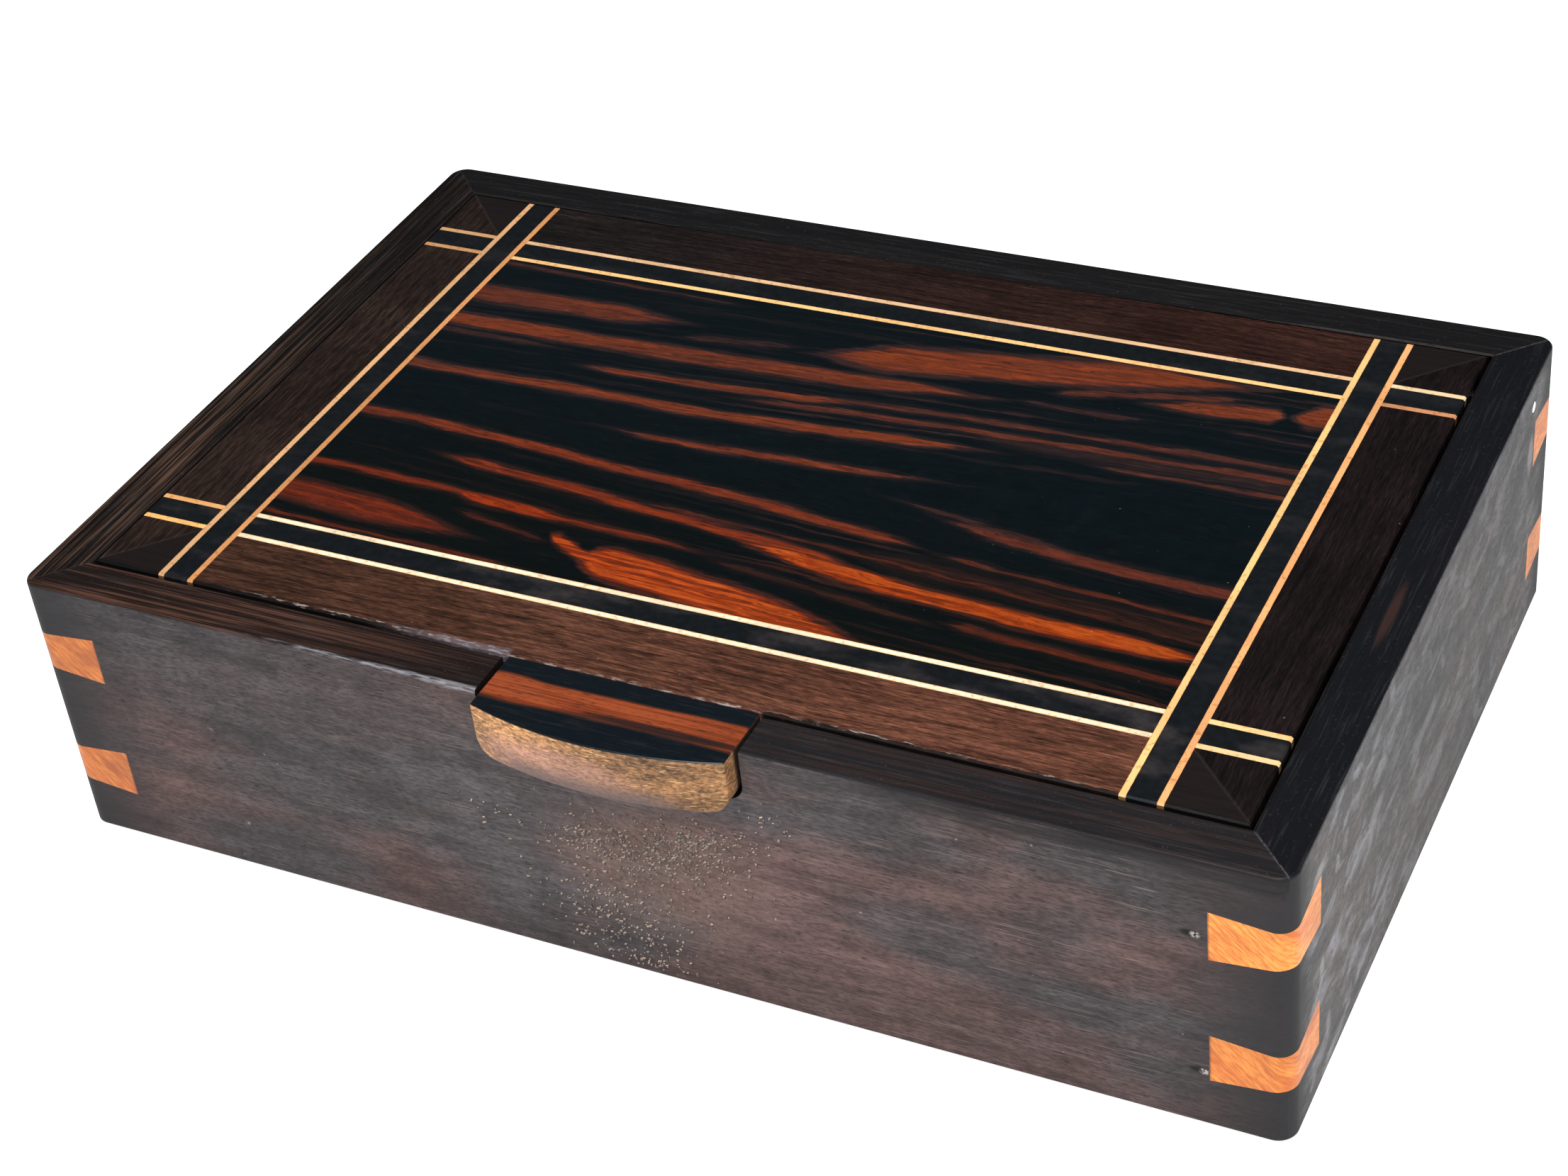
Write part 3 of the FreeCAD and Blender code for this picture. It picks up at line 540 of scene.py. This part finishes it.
    def inner_faces(self):
        """1 inside the wall's thickness and 0 on its outer face and its rim."""
        inward = self.fade(self.width, self.half_width - 7.5, self.half_width - 10.5)
        inner = self.times(inward, self.minus(1.0, self.rim))
        if self.along == "y":
            return inner
        notch_sides = self.fade(self.absolute(self.face_x), 0.6, 0.9)
        return self.most(inner, self.times(notch_sides, self.fade(self.length, 60, 50)))

    def close(self, outer, rim, scratches):
        colour = self.mix(self.rim, outer, rim)
        colour = self.mix(self.inner_faces(), colour, self.inside())
        rough = self.line(self.lines, 0, 1, 0.54, 0.70)
        polished = self.line(scratches, 0, 1, 0.44, 0.58)
        rough = self.plus(rough, self.times(self.rim, self.minus(polished, rough)))
        height = self.minus(self.times(self.plus(self.lines, self.hairs), 0.4), self.pores)
        return self.finish(colour, rough, height, 0.4, 0.12)


# Grey places on the front wall: centre x, centre z, radius along x and along z.
GREY_PLACES = ((-84, 60, 80, 30), (-22, 44, 34, 17), (72, 34, 24, 12), (-96, 8, 34, 12))
TORN_GRAIN = ((129.6, 52.6), (131.2, 15.2))  # x, z of two small pits with a pale crumb, by the keys


def front_wall_finish():
    m = Wall("front_wall_grain", "x", 100)
    greyer = m.most(*(m.spot((x, CASE_LOW.y, z), (rx, 20, rz)) for x, z, rx, rz in GREY_PLACES))
    m.clouds = m.times(m.clouds, m.line(greyer, 0, 1, 1.0, 0.25))
    colour = m.outside((0.049, 0.0435, 0.0455), (0.081, 0.0490, 0.045), 1.0)
    colour = m.darker_corner(colour)
    # painted shade: darker towards the floor
    colour = m.scaled(colour, m.fade(m.z, 0, 22, 0.80, 1.0))
    # brighter towards the middle of the face
    brighter_middle = m.spot((0, CASE_LOW.y, 42), (72, 20, 42))
    colour = m.scaled(colour, m.line(brighter_middle, 0, 1, 1.0, 1.3))
    colour = tan_below_tab(m, colour)
    right_hairs = m.product(m.hairs, m.fade(m.x, 20, 70), m.fade(m.x, 140, 110))
    colour = m.mix(m.times(right_hairs, 0.2), colour, (0.26, 0.19, 0.185))
    ragged = m.line(m.grain((0.04, 0.7, 0.7), 110, 7, fine=0.72), 0, 1, -9, 9)
    spill = m.product(m.fade(m.plus(m.z, ragged), 65.0, 71.6), m.fade(m.x, 28, 90))
    colour = m.mix(m.times(spill, 0.92), colour, (0.0125, 0.0115, 0.0125))
    colour = torn_grain(m, colour)

    ground = m.mix(m.fade(m.x, -30, 50), (0.0105, 0.0066, 0.0058), (0.0118, 0.0112, 0.0128))
    striped = m.fade(m.x, -20, -100, 0.2, 0.95)
    rim, scratches = m.rim_wood(ground, (0.092, 0.040, 0.026), striped)
    worn = worn_edge(m)
    return m.close(m.mix(worn, colour, WORN_EDGE), m.mix(worn, rim, WORN_EDGE), scratches)


def tan_below_tab(m, colour):
    """A tan place with light and dark beads, under the dried drops."""
    tan = m.spot((8, CASE_LOW.y, 32), (34, 20, 26))
    colour = m.mix(m.times(tan, 0.42), colour, (0.150, 0.094, 0.076))
    beads = m.grain((0.75, 0.9, 0.95), 113, 2)
    colour = m.mix(m.product(m.fade(beads, 0.55, 0.66), tan, 0.4), colour, (0.20, 0.145, 0.115))
    return m.mix(m.product(m.fade(beads, 0.43, 0.34), tan, 0.5), colour, (0.030, 0.022, 0.021))


def torn_grain(m, colour):
    """Small black pits beside the right keys, each with a pale crumb of wood."""
    torn = m.fade(m.grain((1.5, 1.5, 1.5), 114, 3), 0.40, 0.56)
    for x, z in TORN_GRAIN:
        pit = m.spot((x - 0.7, CASE_LOW.y, z + 0.2), (3.0, 4, 1.3))
        crumb = m.times(m.spot((x + 0.5, CASE_LOW.y, z), (1.4, 4, 1.2)), torn)
        colour = m.mix(pit, colour, (0.007, 0.007, 0.007))
        colour = m.mix(crumb, colour, (0.36, 0.33, 0.30))
    return colour


def worn_edge(m):
    """How rubbed and pale the front wall's top edge is: a thin streak that widens up to the tab."""
    width = m.fade(m.x, -90, -32, 0.2, 1.1)
    ragged = m.line(m.grain((0.16, 1.6, 1.6), 111, 5), 0, 1, -1.3, 1.3)
    below = m.plus(m.minus(CASE_HIGH.z, m.z), ragged)
    behind = m.fade(m.y, CASE_LOW.y + 1.5, CASE_LOW.y + 0.7)
    near = m.times(m.fade(m.x, -98, -70, 0.0, 0.85), m.fade(m.x, TAB_LOW.x, TAB_LOW.x - 1))
    scratchy = m.fade(m.grain((0.3, 2.4, 2.4), 112, 4), 0.36, 0.62, 0.15, 1.0)
    return m.product(m.fade(m.minus(width, below), 0.0, 0.7), behind, near, scratchy)


# Pale scuffs on the right wall: centre y, centre z, radius along y and along z, strength.
SCUFFS = (
    (-80.5, 33.5, 2.0, 4.0, 0.55),
    (-75.5, 13.0, 2.2, 4.5, 0.45),
    (-44.0, 44.5, 6.5, 3.2, 0.4),
    (-83.0, 61.5, 4.0, 2.2, 0.5),
    (78.5, 52.0, 3.4, 7.0, 0.55),
    (-66.0, 55.0, 2.5, 4.0, 0.2),
)


def right_wall_finish():
    m = Wall("right_wall_grain", "y", 190)
    colour = m.outside((0.064, 0.062, 0.064), (0.080, 0.071, 0.067), 0.9)
    bruises = m.fade(m.grain((0.04, 0.04, 0.12), 197, 9, 0.6, fine=0.62), 0.46, 0.66)
    colour = m.mix(m.times(bruises, 0.5), colour, (0.034, 0.034, 0.036))
    smears = m.fade(m.grain((0.06, 0.06, 0.15), 196, 10, 0.9, fine=0.62), 0.46, 0.66)
    smears = m.product(smears, m.fade(m.y, -20, -70, 0.55, 1.0), m.fade(m.grit, 0.3, 0.6, 0.5, 0.95))
    colour = m.mix(smears, colour, (0.215, 0.212, 0.226))
    colour = m.scaled(colour, m.fade(m.y, -10, -60, 1.0, 1.22))
    colour = m.darker_corner(colour)
    scratchy = m.fade(m.lines, 0.3, 0.6, 0.5, 1.0)
    for y, z, wide, tall, amount in SCUFFS:
        scuff = m.spot((CASE_HIGH.x, y, z), (20, wide, tall))
        colour = m.mix(m.product(scuff, scratchy, amount), colour, (0.36, 0.35, 0.34))

    rim, scratches = m.rim_wood((0.0055, 0.0060, 0.0080), (0.035, 0.018, 0.016), 0.08)
    red_place = m.spot((143.6, -14, CASE_HIGH.z), (1.6, 15, 5))
    rim = m.mix(m.times(red_place, 0.8), rim, (0.040, 0.020, 0.017))
    return m.close(colour, rim, scratches)


def left_wall_finish():
    m = Wall("left_wall_grain", "y", 160)
    colour = m.darker_corner(m.outside((0.048, 0.044, 0.046), (0.070, 0.048, 0.044), 0.9))
    striped = m.fade(m.y, 70, -50, 0.2, 0.85)
    rim, scratches = m.rim_wood((0.0050, 0.0040, 0.0037), (0.092, 0.051, 0.034), striped)
    return m.close(colour, rim, scratches)


def back_wall_finish():
    m = Wall("back_wall_grain", "x", 130)
    colour = m.darker_corner(m.outside((0.048, 0.043, 0.045), (0.070, 0.047, 0.043), 1.0))
    rim, scratches = m.rim_wood((0.0065, 0.0065, 0.0072), (0.040, 0.024, 0.019), 0.12)
    return m.close(colour, rim, scratches)


def key_finish():
    """Orange cherry corner keys with fine slanting grain and a few dark pits."""
    m = Finish("cherry_key", specular=0.35)
    inputs = {"Vector": m.place, "Angle": math.radians(-42)}
    slanting = m.add("ShaderNodeVectorRotate", inputs, rotation_type="Y_AXIS").outputs[0]
    lines = m.grain((0.35, 0.35, 2.4), 41, 5, 0.2, place=slanting, fine=0.65)
    broad = m.grain((0.06, 0.06, 0.42), 44, 4, 0.2, place=slanting)
    tone = m.grain((0.07, 0.07, 0.16), 42, 2)
    colour = m.mix(m.fade(lines, 0.28, 0.72), linear(188, 94, 30), linear(242, 156, 70))
    colour = m.mix(m.times(m.fade(broad, 0.48, 0.66), 0.6), colour, linear(180, 84, 27))
    glue_line = m.fade(m.absolute(m.x), KEY_END + 0.5, KEY_END + 0.1)
    colour = m.mix(m.times(glue_line, 0.55), colour, linear(70, 34, 20))
    # painted shade: darker and redder towards the left, the base and the back
    to_left = m.fade(m.x, -90, -140)
    to_base = m.fade(m.z, 40, 28, 0, 0.5)
    to_back = m.fade(m.y, 60, 90, 0, 0.8)
    colour = m.mix(m.most(to_left, to_base, to_back), colour, m.tinted(colour, 0.74, 0.64, 0.56))
    # painted light: brighter on faces that face right
    painted_light_facing_right = m.fade(m.face_x, 0.5, 0.9, 1.0, 1.16)
    colour = m.scaled(colour, m.times(painted_light_facing_right, m.fade(tone, 0.3, 0.7, 0.86, 1.1)))
    pits = m.fade(m.grain((0.7, 0.7, 1.6), 43, 1), 0.80, 0.86)
    colour = m.mix(m.times(pits, 0.7), colour, (0.05, 0.015, 0.008))
    return m.finish(colour, 0.5, lines, 0.2, 0.08)


def tab_finish():
    """The pull tab: polished ebony with an orange band on top, raw fuzzy wood on its sawn faces."""
    m = Finish("tab_figure", specular=0.4)
    fuzz = m.grain((0.8, 0.8, 2.0), 53, 5, 0.6)
    fibres = m.fade(m.grain((0.5, 0.5, 3.4), 55, 2, 0.5), 0.56, 0.72)
    above = m.fade(m.face_z, 0.35, 0.7)
    colour = m.mix(above, tab_sawn_wood(m, fuzz, fibres), tab_top(m))
    height = m.times(m.plus(fuzz, fibres), m.line(above, 0, 1, 1.0, 0.05))
    return m.finish(colour, m.line(above, 0, 1, 0.78, 0.26), height, 0.6, 0.25)


def tab_top(m):
    """Ebony with one orange band, which a dark tongue splits at its right end."""
    y = m.plus(m.y, m.line(m.grain((0.025, 0.08, 0.1), 51, 2), 0, 1, -1.8, 1.8))
    band = m.times(m.fade(y, -90.6, -92.0), m.fade(y, -100.4, -98.4))
    tongue = m.spot((15, -98.0, TAB_HIGH.z), (30, 1.5, 6))
    lines = m.fade(m.grain((0.03, 1.4, 1.2), 52, 4), 0.3, 0.62, 0.66, 1.05)
    band = m.product(band, m.line(tongue, 0, 1, 1.0, 0.25), lines, m.fade(m.x, 8, 28, 1.0, 0.84))
    top = m.ramp(band, (
        (0.0, (0.0030, 0.0062, 0.0094)),
        (0.35, (0.045, 0.016, 0.011)),
        (0.7, (0.180, 0.034, 0.011)),
        (1.0, (0.310, 0.064, 0.020)),
    ))
    pores = m.fade(m.grain((0.35, 3.0, 1.0), 56, 2), 0.56, 0.68)
    top = m.mix(m.times(pores, 0.6), top, (0.010, 0.007, 0.008))
    sheen = m.fade(m.grain((0.12, 1.6, 1.0), 57, 5, fine=0.65), 0.5, 0.7)
    return m.mix(m.times(sheen, 0.10), top, (0.10, 0.075, 0.070))


def tab_sawn_wood(m, fuzz, fibres):
    """Fuzzy tan wood, pinkish in the middle, grey-brown at its lower edge and painted black shade where it
    sits in the notch.
    """
    blot = m.fade(m.grain((0.05, 0.05, 0.12), 54, 2), 0.35, 0.65)
    raw = m.mix(blot, linear(106, 76, 50), linear(148, 106, 68))
    clumps = m.grain((0.35, 0.35, 0.6), 59, 4, 0.8)
    raw = m.scaled(raw, m.times(m.fade(fuzz, 0.3, 0.7, 0.36, 1.4), m.fade(clumps, 0.35, 0.65, 0.72, 1.2)))
    raw = m.mix(m.times(fibres, 0.5), raw, linear(224, 180, 128))

    smooth = m.grain((0.10, 0.10, 1.1), 58, 6, fine=0.65)
    pinkish = m.mix(smooth, linear(100, 68, 60), linear(168, 128, 112))
    pinkish = m.scaled(pinkish, m.fade(fuzz, 0.3, 0.7, 0.72, 1.2))
    pink = m.product(m.spot((-7, TAB_LOW.y, 62.0), (26, 30, 9)), m.fade(smooth, 0.32, 0.62, 0.45, 1.0))
    raw = m.mix(m.times(pink, 0.85), raw, pinkish)

    raw = m.scaled(raw, m.fade(m.x, TAB_LOW.x, TAB_HIGH.x, 2.0, 1.15))
    low = m.times(m.fade(m.z, TAB_LOW.z + 6.2, TAB_LOW.z + 0.8), m.fade(m.absolute(m.x), 26, 14))
    raw = m.mix(m.times(low, 0.85), raw, (0.105, 0.078, 0.076))
    # painted shade where the sawn faces sit in the notch
    notch_shade = m.times(m.fade(m.absolute(m.face_x), 0.5, 0.8), m.fade(m.y, -99.6, -98.2))
    return m.mix(m.times(notch_shade, 0.92), raw, (0.006, 0.005, 0.005))


def plain_wood(name, seed, pale, dark, scale, rough):
    """A plain sawn board: seen inside the box, below it and on the open lid's underside."""
    m = Finish(name)
    rings = m.grain(scale, seed, 4, 0.3)
    fine = m.grain(tuple(s * 4 for s in scale), seed + 1, 3)
    colour = m.mix(m.fade(rings, 0.3, 0.7), dark, pale)
    colour = m.scaled(colour, m.fade(fine, 0.3, 0.7, 0.8, 1.15))
    pores = m.fade(m.grain(tuple(s * 9 for s in scale), seed + 2, 1), 0.66, 0.78)
    colour = m.mix(m.times(pores, 0.5), colour, tuple(c * 0.25 for c in dark))
    return m.finish(colour, rough, m.minus(fine, pores), 0.25, 0.1)


def steel_finish():
    """Turned steel of the hinge pins."""
    m = Finish("pin_steel")
    m.shader.inputs["Metallic"].default_value = 1.0
    marks = m.grain((0.4, 3.0, 3.0), 61, 3)
    colour = m.mix(m.fade(marks, 0.3, 0.7), (0.66, 0.64, 0.60), (0.86, 0.85, 0.82))
    return m.finish(colour, m.line(marks, 0, 1, 0.2, 0.36), marks, 0.1, 0.02)


def speck_finish():
    """Dried drops of finish on the front wall, with a painted highlight towards the upper left and painted
    shade on their other sides.
    """
    m = Finish("dried_specks")
    tone = m.grain((0.8, 0.8, 0.8), 71, 1)
    # painted highlight and painted shade on each drop, by which way its surface faces
    top = m.mix(m.fade(tone, 0.32, 0.58), (0.115, 0.080, 0.064), (0.47, 0.355, 0.28))
    lit = m.minus(m.face_z, m.times(m.face_x, 0.5))  # paler towards the upper left
    colour = m.mix(m.fade(lit, -0.2, 0.7), (0.030, 0.021, 0.019), top)
    return m.finish(colour, 0.32, m.grain((3, 3, 3), 72, 2), 0.3, 0.05)


def dress(finish, *names):
    """Puts one finish on every slot of these CAD nodes."""
    for name in names:
        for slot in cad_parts[name].material_slots:
            slot.material = finish


FRONT_STRINGS = ("front_inner_string", "front_outer_string")
GLUE_STAIN_IN_FRONT = 0.36  # width of the golden line along a string's edge, in millimetres
GLUE_STAIN = 0.12
STRINGS = {
    "front_inner_string": linear(250, 230, 196),
    "front_outer_string": linear(250, 230, 196),
    "front_inner_string_left_stub": linear(228, 168, 106),
    "front_outer_string_left_stub": linear(238, 186, 112),
    "front_inner_string_right_stub": linear(248, 206, 140),
    "front_outer_string_right_stub": linear(250, 214, 156),
    "left_outer_string": linear(218, 168, 120),
    "left_inner_string": linear(210, 146, 92),
    "right_inner_string": linear(244, 196, 128),
    "right_outer_string": linear(238, 172, 112),
    "back_outer_string": linear(230, 188, 144),
    "back_inner_string": linear(250, 200, 134),
    "back_outer_string_left_stub": linear(204, 158, 112),
    "back_inner_string_left_stub": linear(200, 148, 100),
    "back_outer_string_right_stub": linear(238, 212, 168),
    "back_inner_string_right_stub": linear(206, 142, 98),
}
BORDER_CORNER = (0.0082, 0.0053, 0.0054)
# Along which axis, seed, colour at the low end and at the high end.
BORDERS = {
    "front": ("x", 300, (0.046, 0.0195, 0.0115), (0.108, 0.040, 0.024)),
    "back": ("x", 320, (0.0095, 0.0068, 0.0066), (0.026, 0.0095, 0.0068)),
    "left": ("y", 340, (0.0195, 0.0108, 0.0085), (0.017, 0.0105, 0.0085)),
    "right": ("y", 360, (0.0075, 0.0042, 0.0045), (0.0075, 0.0040, 0.0045)),
}
BASE_BOARD = (220, (0.15, 0.085, 0.045), (0.095, 0.052, 0.028), (0.02, 0.35, 0.4), 0.6)
LID_BOARD = (240, (0.075, 0.043, 0.033), (0.040, 0.024, 0.020), (0.015, 0.4, 0.5), 0.5)


def named(part):
    """The CAD nodes that have this word in their names."""
    return [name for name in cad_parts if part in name.split("_")]


dress(front_wall_finish(), "front_wall")
dress(back_wall_finish(), "back_wall")
dress(left_wall_finish(), "left_wall")
dress(right_wall_finish(), "right_wall")
dress(key_finish(), *named("key"))
dress(plain_wood("base_board", *BASE_BOARD), "bottom_panel")
dress(plain_wood("lid_board", *LID_BOARD), "lid_core")
dress(steel_finish(), *named("pin"))
dress(panel_finish(), "centre_panel")
for side, tones in BORDERS.items():
    dress(border_finish(side + "_border_grain", *tones), side + "_border")
for number, (node, body) in enumerate(STRINGS.items()):
    dress(string_finish(node, 400 + 3 * number, body), node)
dress(ebony_finish(), *named("ebony"))
dress(tab_finish(), "pull_tab")


# ---------------------------------------------------------------- dried drops on the front wall

# Centre x, centre z, spread along and across, tilt in degrees, how many.
SPECK_CLUSTERS = (
    (10.5, 37.5, 10.8, 4.8, 9, 540),
    (23, 44, 6.5, 2.2, 8, 130),
    (-9, 36, 5, 4, 0, 100),
    (-2, 15, 8.5, 6.5, 0, 320),
    (4, 3.6, 6, 1.6, 0, 60),
    (37, 54, 2.6, 3.4, 60, 26),
    (-28, 36, 6, 4, 0, 22),
)
SPECK_FLOOR, SPECK_CEILING = 1.5, 66  # none lower or higher than this
UNDER_TAB = 56  # and none above this behind the tab
LUMPINESS = 0.16  # how far a drop's corners stray, in its own radii


def unit_ball():
    """Corners and triangles of a small sphere."""
    ball = bmesh.new()
    bmesh.ops.create_icosphere(ball, subdivisions=2, radius=1.0)
    corners = [v.co.copy() for v in ball.verts]
    triangles = [[v.index for v in f.verts] for f in ball.faces]
    ball.free()
    return corners, triangles


def front_specks():
    """Small dried drops below and to the right of the pull tab, as one mesh."""
    chance = random.Random(12)
    corners, triangles = unit_ball()
    points, faces = [], []
    for x0, z0, spread_x, spread_z, tilt, count in SPECK_CLUSTERS:
        turn = math.radians(tilt)
        for _ in range(count):
            along, up = chance.gauss(0, spread_x), chance.gauss(0, spread_z)
            x = x0 + along * math.cos(turn) - up * math.sin(turn)
            z = z0 + along * math.sin(turn) + up * math.cos(turn)
            size = chance.uniform(0.14, 0.33) * chance.uniform(0.78, 1.28)
            spin = Matrix.Rotation(chance.uniform(0, math.pi), 4, "Y")
            flat = Matrix.Diagonal((size * chance.uniform(1.0, 2.0), size * 0.8, size, 1))
            if not SPECK_FLOOR < z < SPECK_CEILING or (z > UNDER_TAB and x < TAB_HIGH.x):
                continue
            place = Matrix.Translation((x, CASE_LOW.y, z)) @ spin @ flat
            first = len(points)
            for corner in corners:
                lump = Vector([chance.uniform(-LUMPINESS, LUMPINESS) for _ in range(3)])
                points.append((place @ (corner + lump)) * MM)
            faces.extend([first + i for i in triangle] for triangle in triangles)
    mesh = bpy.data.meshes.new("front_specks")
    mesh.from_pydata(points, [], faces)
    mesh.polygons.foreach_set("use_smooth", [True] * len(faces))
    mesh.update()
    piece = bpy.data.objects.new("front_specks", mesh)
    bpy.context.scene.collection.objects.link(piece)
    mesh.materials.append(speck_finish())
    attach(piece, "box")


front_specks()


# ---------------------------------------------------------------- floor, light and camera

FLOOR_HALF = 6.0  # metres, as are the next two and the lights' places
FLOOR_WHOLE, FLOOR_GONE = 1.1, 2.6  # how far from the middle the floor starts to fade, and ends


def pale_floor():
    """A white floor that gives way to the white background well beyond the object."""
    mesh = bpy.data.meshes.new("floor")
    shape = bmesh.new()
    bmesh.ops.create_grid(shape, x_segments=1, y_segments=1, size=FLOOR_HALF)
    shape.to_mesh(mesh)
    shape.free()
    floor = bpy.data.objects.new("floor", mesh)
    bpy.context.scene.collection.objects.link(floor)
    material = bpy.data.materials.new("white_paper")
    material.use_nodes = True
    g = Graph(material.node_tree)
    shader = material.node_tree.nodes["Principled BSDF"]
    place = material.node_tree.nodes.new("ShaderNodeTexCoord").outputs["Object"]
    far = g.vector("LENGTH", place).outputs["Value"]
    g.put(shader.inputs["Alpha"], g.fade(far, FLOOR_GONE, FLOOR_WHOLE))
    shader.inputs["Base Color"].default_value = (0.86, 0.86, 0.86, 1)
    shader.inputs["Roughness"].default_value = 0.8
    shader.inputs["Emission Color"].default_value = (1, 1, 1, 1)
    shader.inputs["Emission Strength"].default_value = 0.62
    mesh.materials.append(material)


def soft_light(name, place, target, size, power, glossy=True):
    """A white rectangular lamp aimed at a target. glossy tells whether it shows in reflections."""
    light = bpy.data.lights.new(name, "AREA")
    light.shape = "RECTANGLE"
    light.size, light.size_y = size
    light.energy = power
    lamp = bpy.data.objects.new(name, light)
    lamp.location = place
    lamp.rotation_euler = (Vector(target) - Vector(place)).to_track_quat("-Z", "Y").to_euler()
    lamp.visible_glossy = glossy
    bpy.context.scene.collection.objects.link(lamp)


def studio_world():
    """White to the camera, and a dim even room for the light that it sheds."""
    world = bpy.data.worlds.new("studio")
    world.use_nodes = True
    bpy.context.scene.world = world
    tree = world.node_tree
    tree.nodes.clear()
    seen = tree.nodes.new("ShaderNodeBackground")
    shed = tree.nodes.new("ShaderNodeBackground")
    seen.inputs["Color"].default_value = (1, 1, 1, 1)
    shed.inputs["Color"].default_value = (0.80, 0.95, 1.0, 1)
    shed.inputs["Strength"].default_value = 0.06
    path = tree.nodes.new("ShaderNodeLightPath")
    choice = tree.nodes.new("ShaderNodeMixShader")
    output = tree.nodes.new("ShaderNodeOutputWorld")
    tree.links.new(path.outputs["Is Camera Ray"], choice.inputs[0])
    tree.links.new(shed.outputs[0], choice.inputs[1])
    tree.links.new(seen.outputs[0], choice.inputs[2])
    tree.links.new(choice.outputs[0], output.inputs["Surface"])


EYE = (275.4, -497.2, 459.7)
AZIMUTH, ELEVATION, ROLL = math.radians(29.67), math.radians(36.74), math.radians(-6.92)
LENS, SENSOR = 68.55, 36.0


def camera():
    """A long lens above the front right corner, tilted a little."""
    back = Vector((
        math.sin(AZIMUTH) * math.cos(ELEVATION),
        -math.cos(AZIMUTH) * math.cos(ELEVATION),
        math.sin(ELEVATION),
    ))
    data = bpy.data.cameras.new("camera")
    data.sensor_width = SENSOR
    data.lens = LENS
    data.clip_start = 0.02
    eye = bpy.data.objects.new("camera", data)
    eye.location = Vector(EYE) * MM
    eye.rotation_mode = "QUATERNION"
    eye.rotation_quaternion = (-back).to_track_quat("-Z", "Y") @ Quaternion((0, 0, 1), ROLL)
    bpy.context.scene.collection.objects.link(eye)
    bpy.context.scene.camera = eye


pale_floor()
studio_world()
soft_light("overhead", place=(0.2, -0.45, 1.5), target=(0, 0, 0.05), size=(1.3, 1.0), power=30)
soft_light(
    "front_fill", place=(0.9, -1.3, 0.9), target=(0, 0, 0.03), size=(1.0, 0.8), power=14, glossy=False
)
camera()
bpy.context.scene.view_settings.view_transform = "Standard"
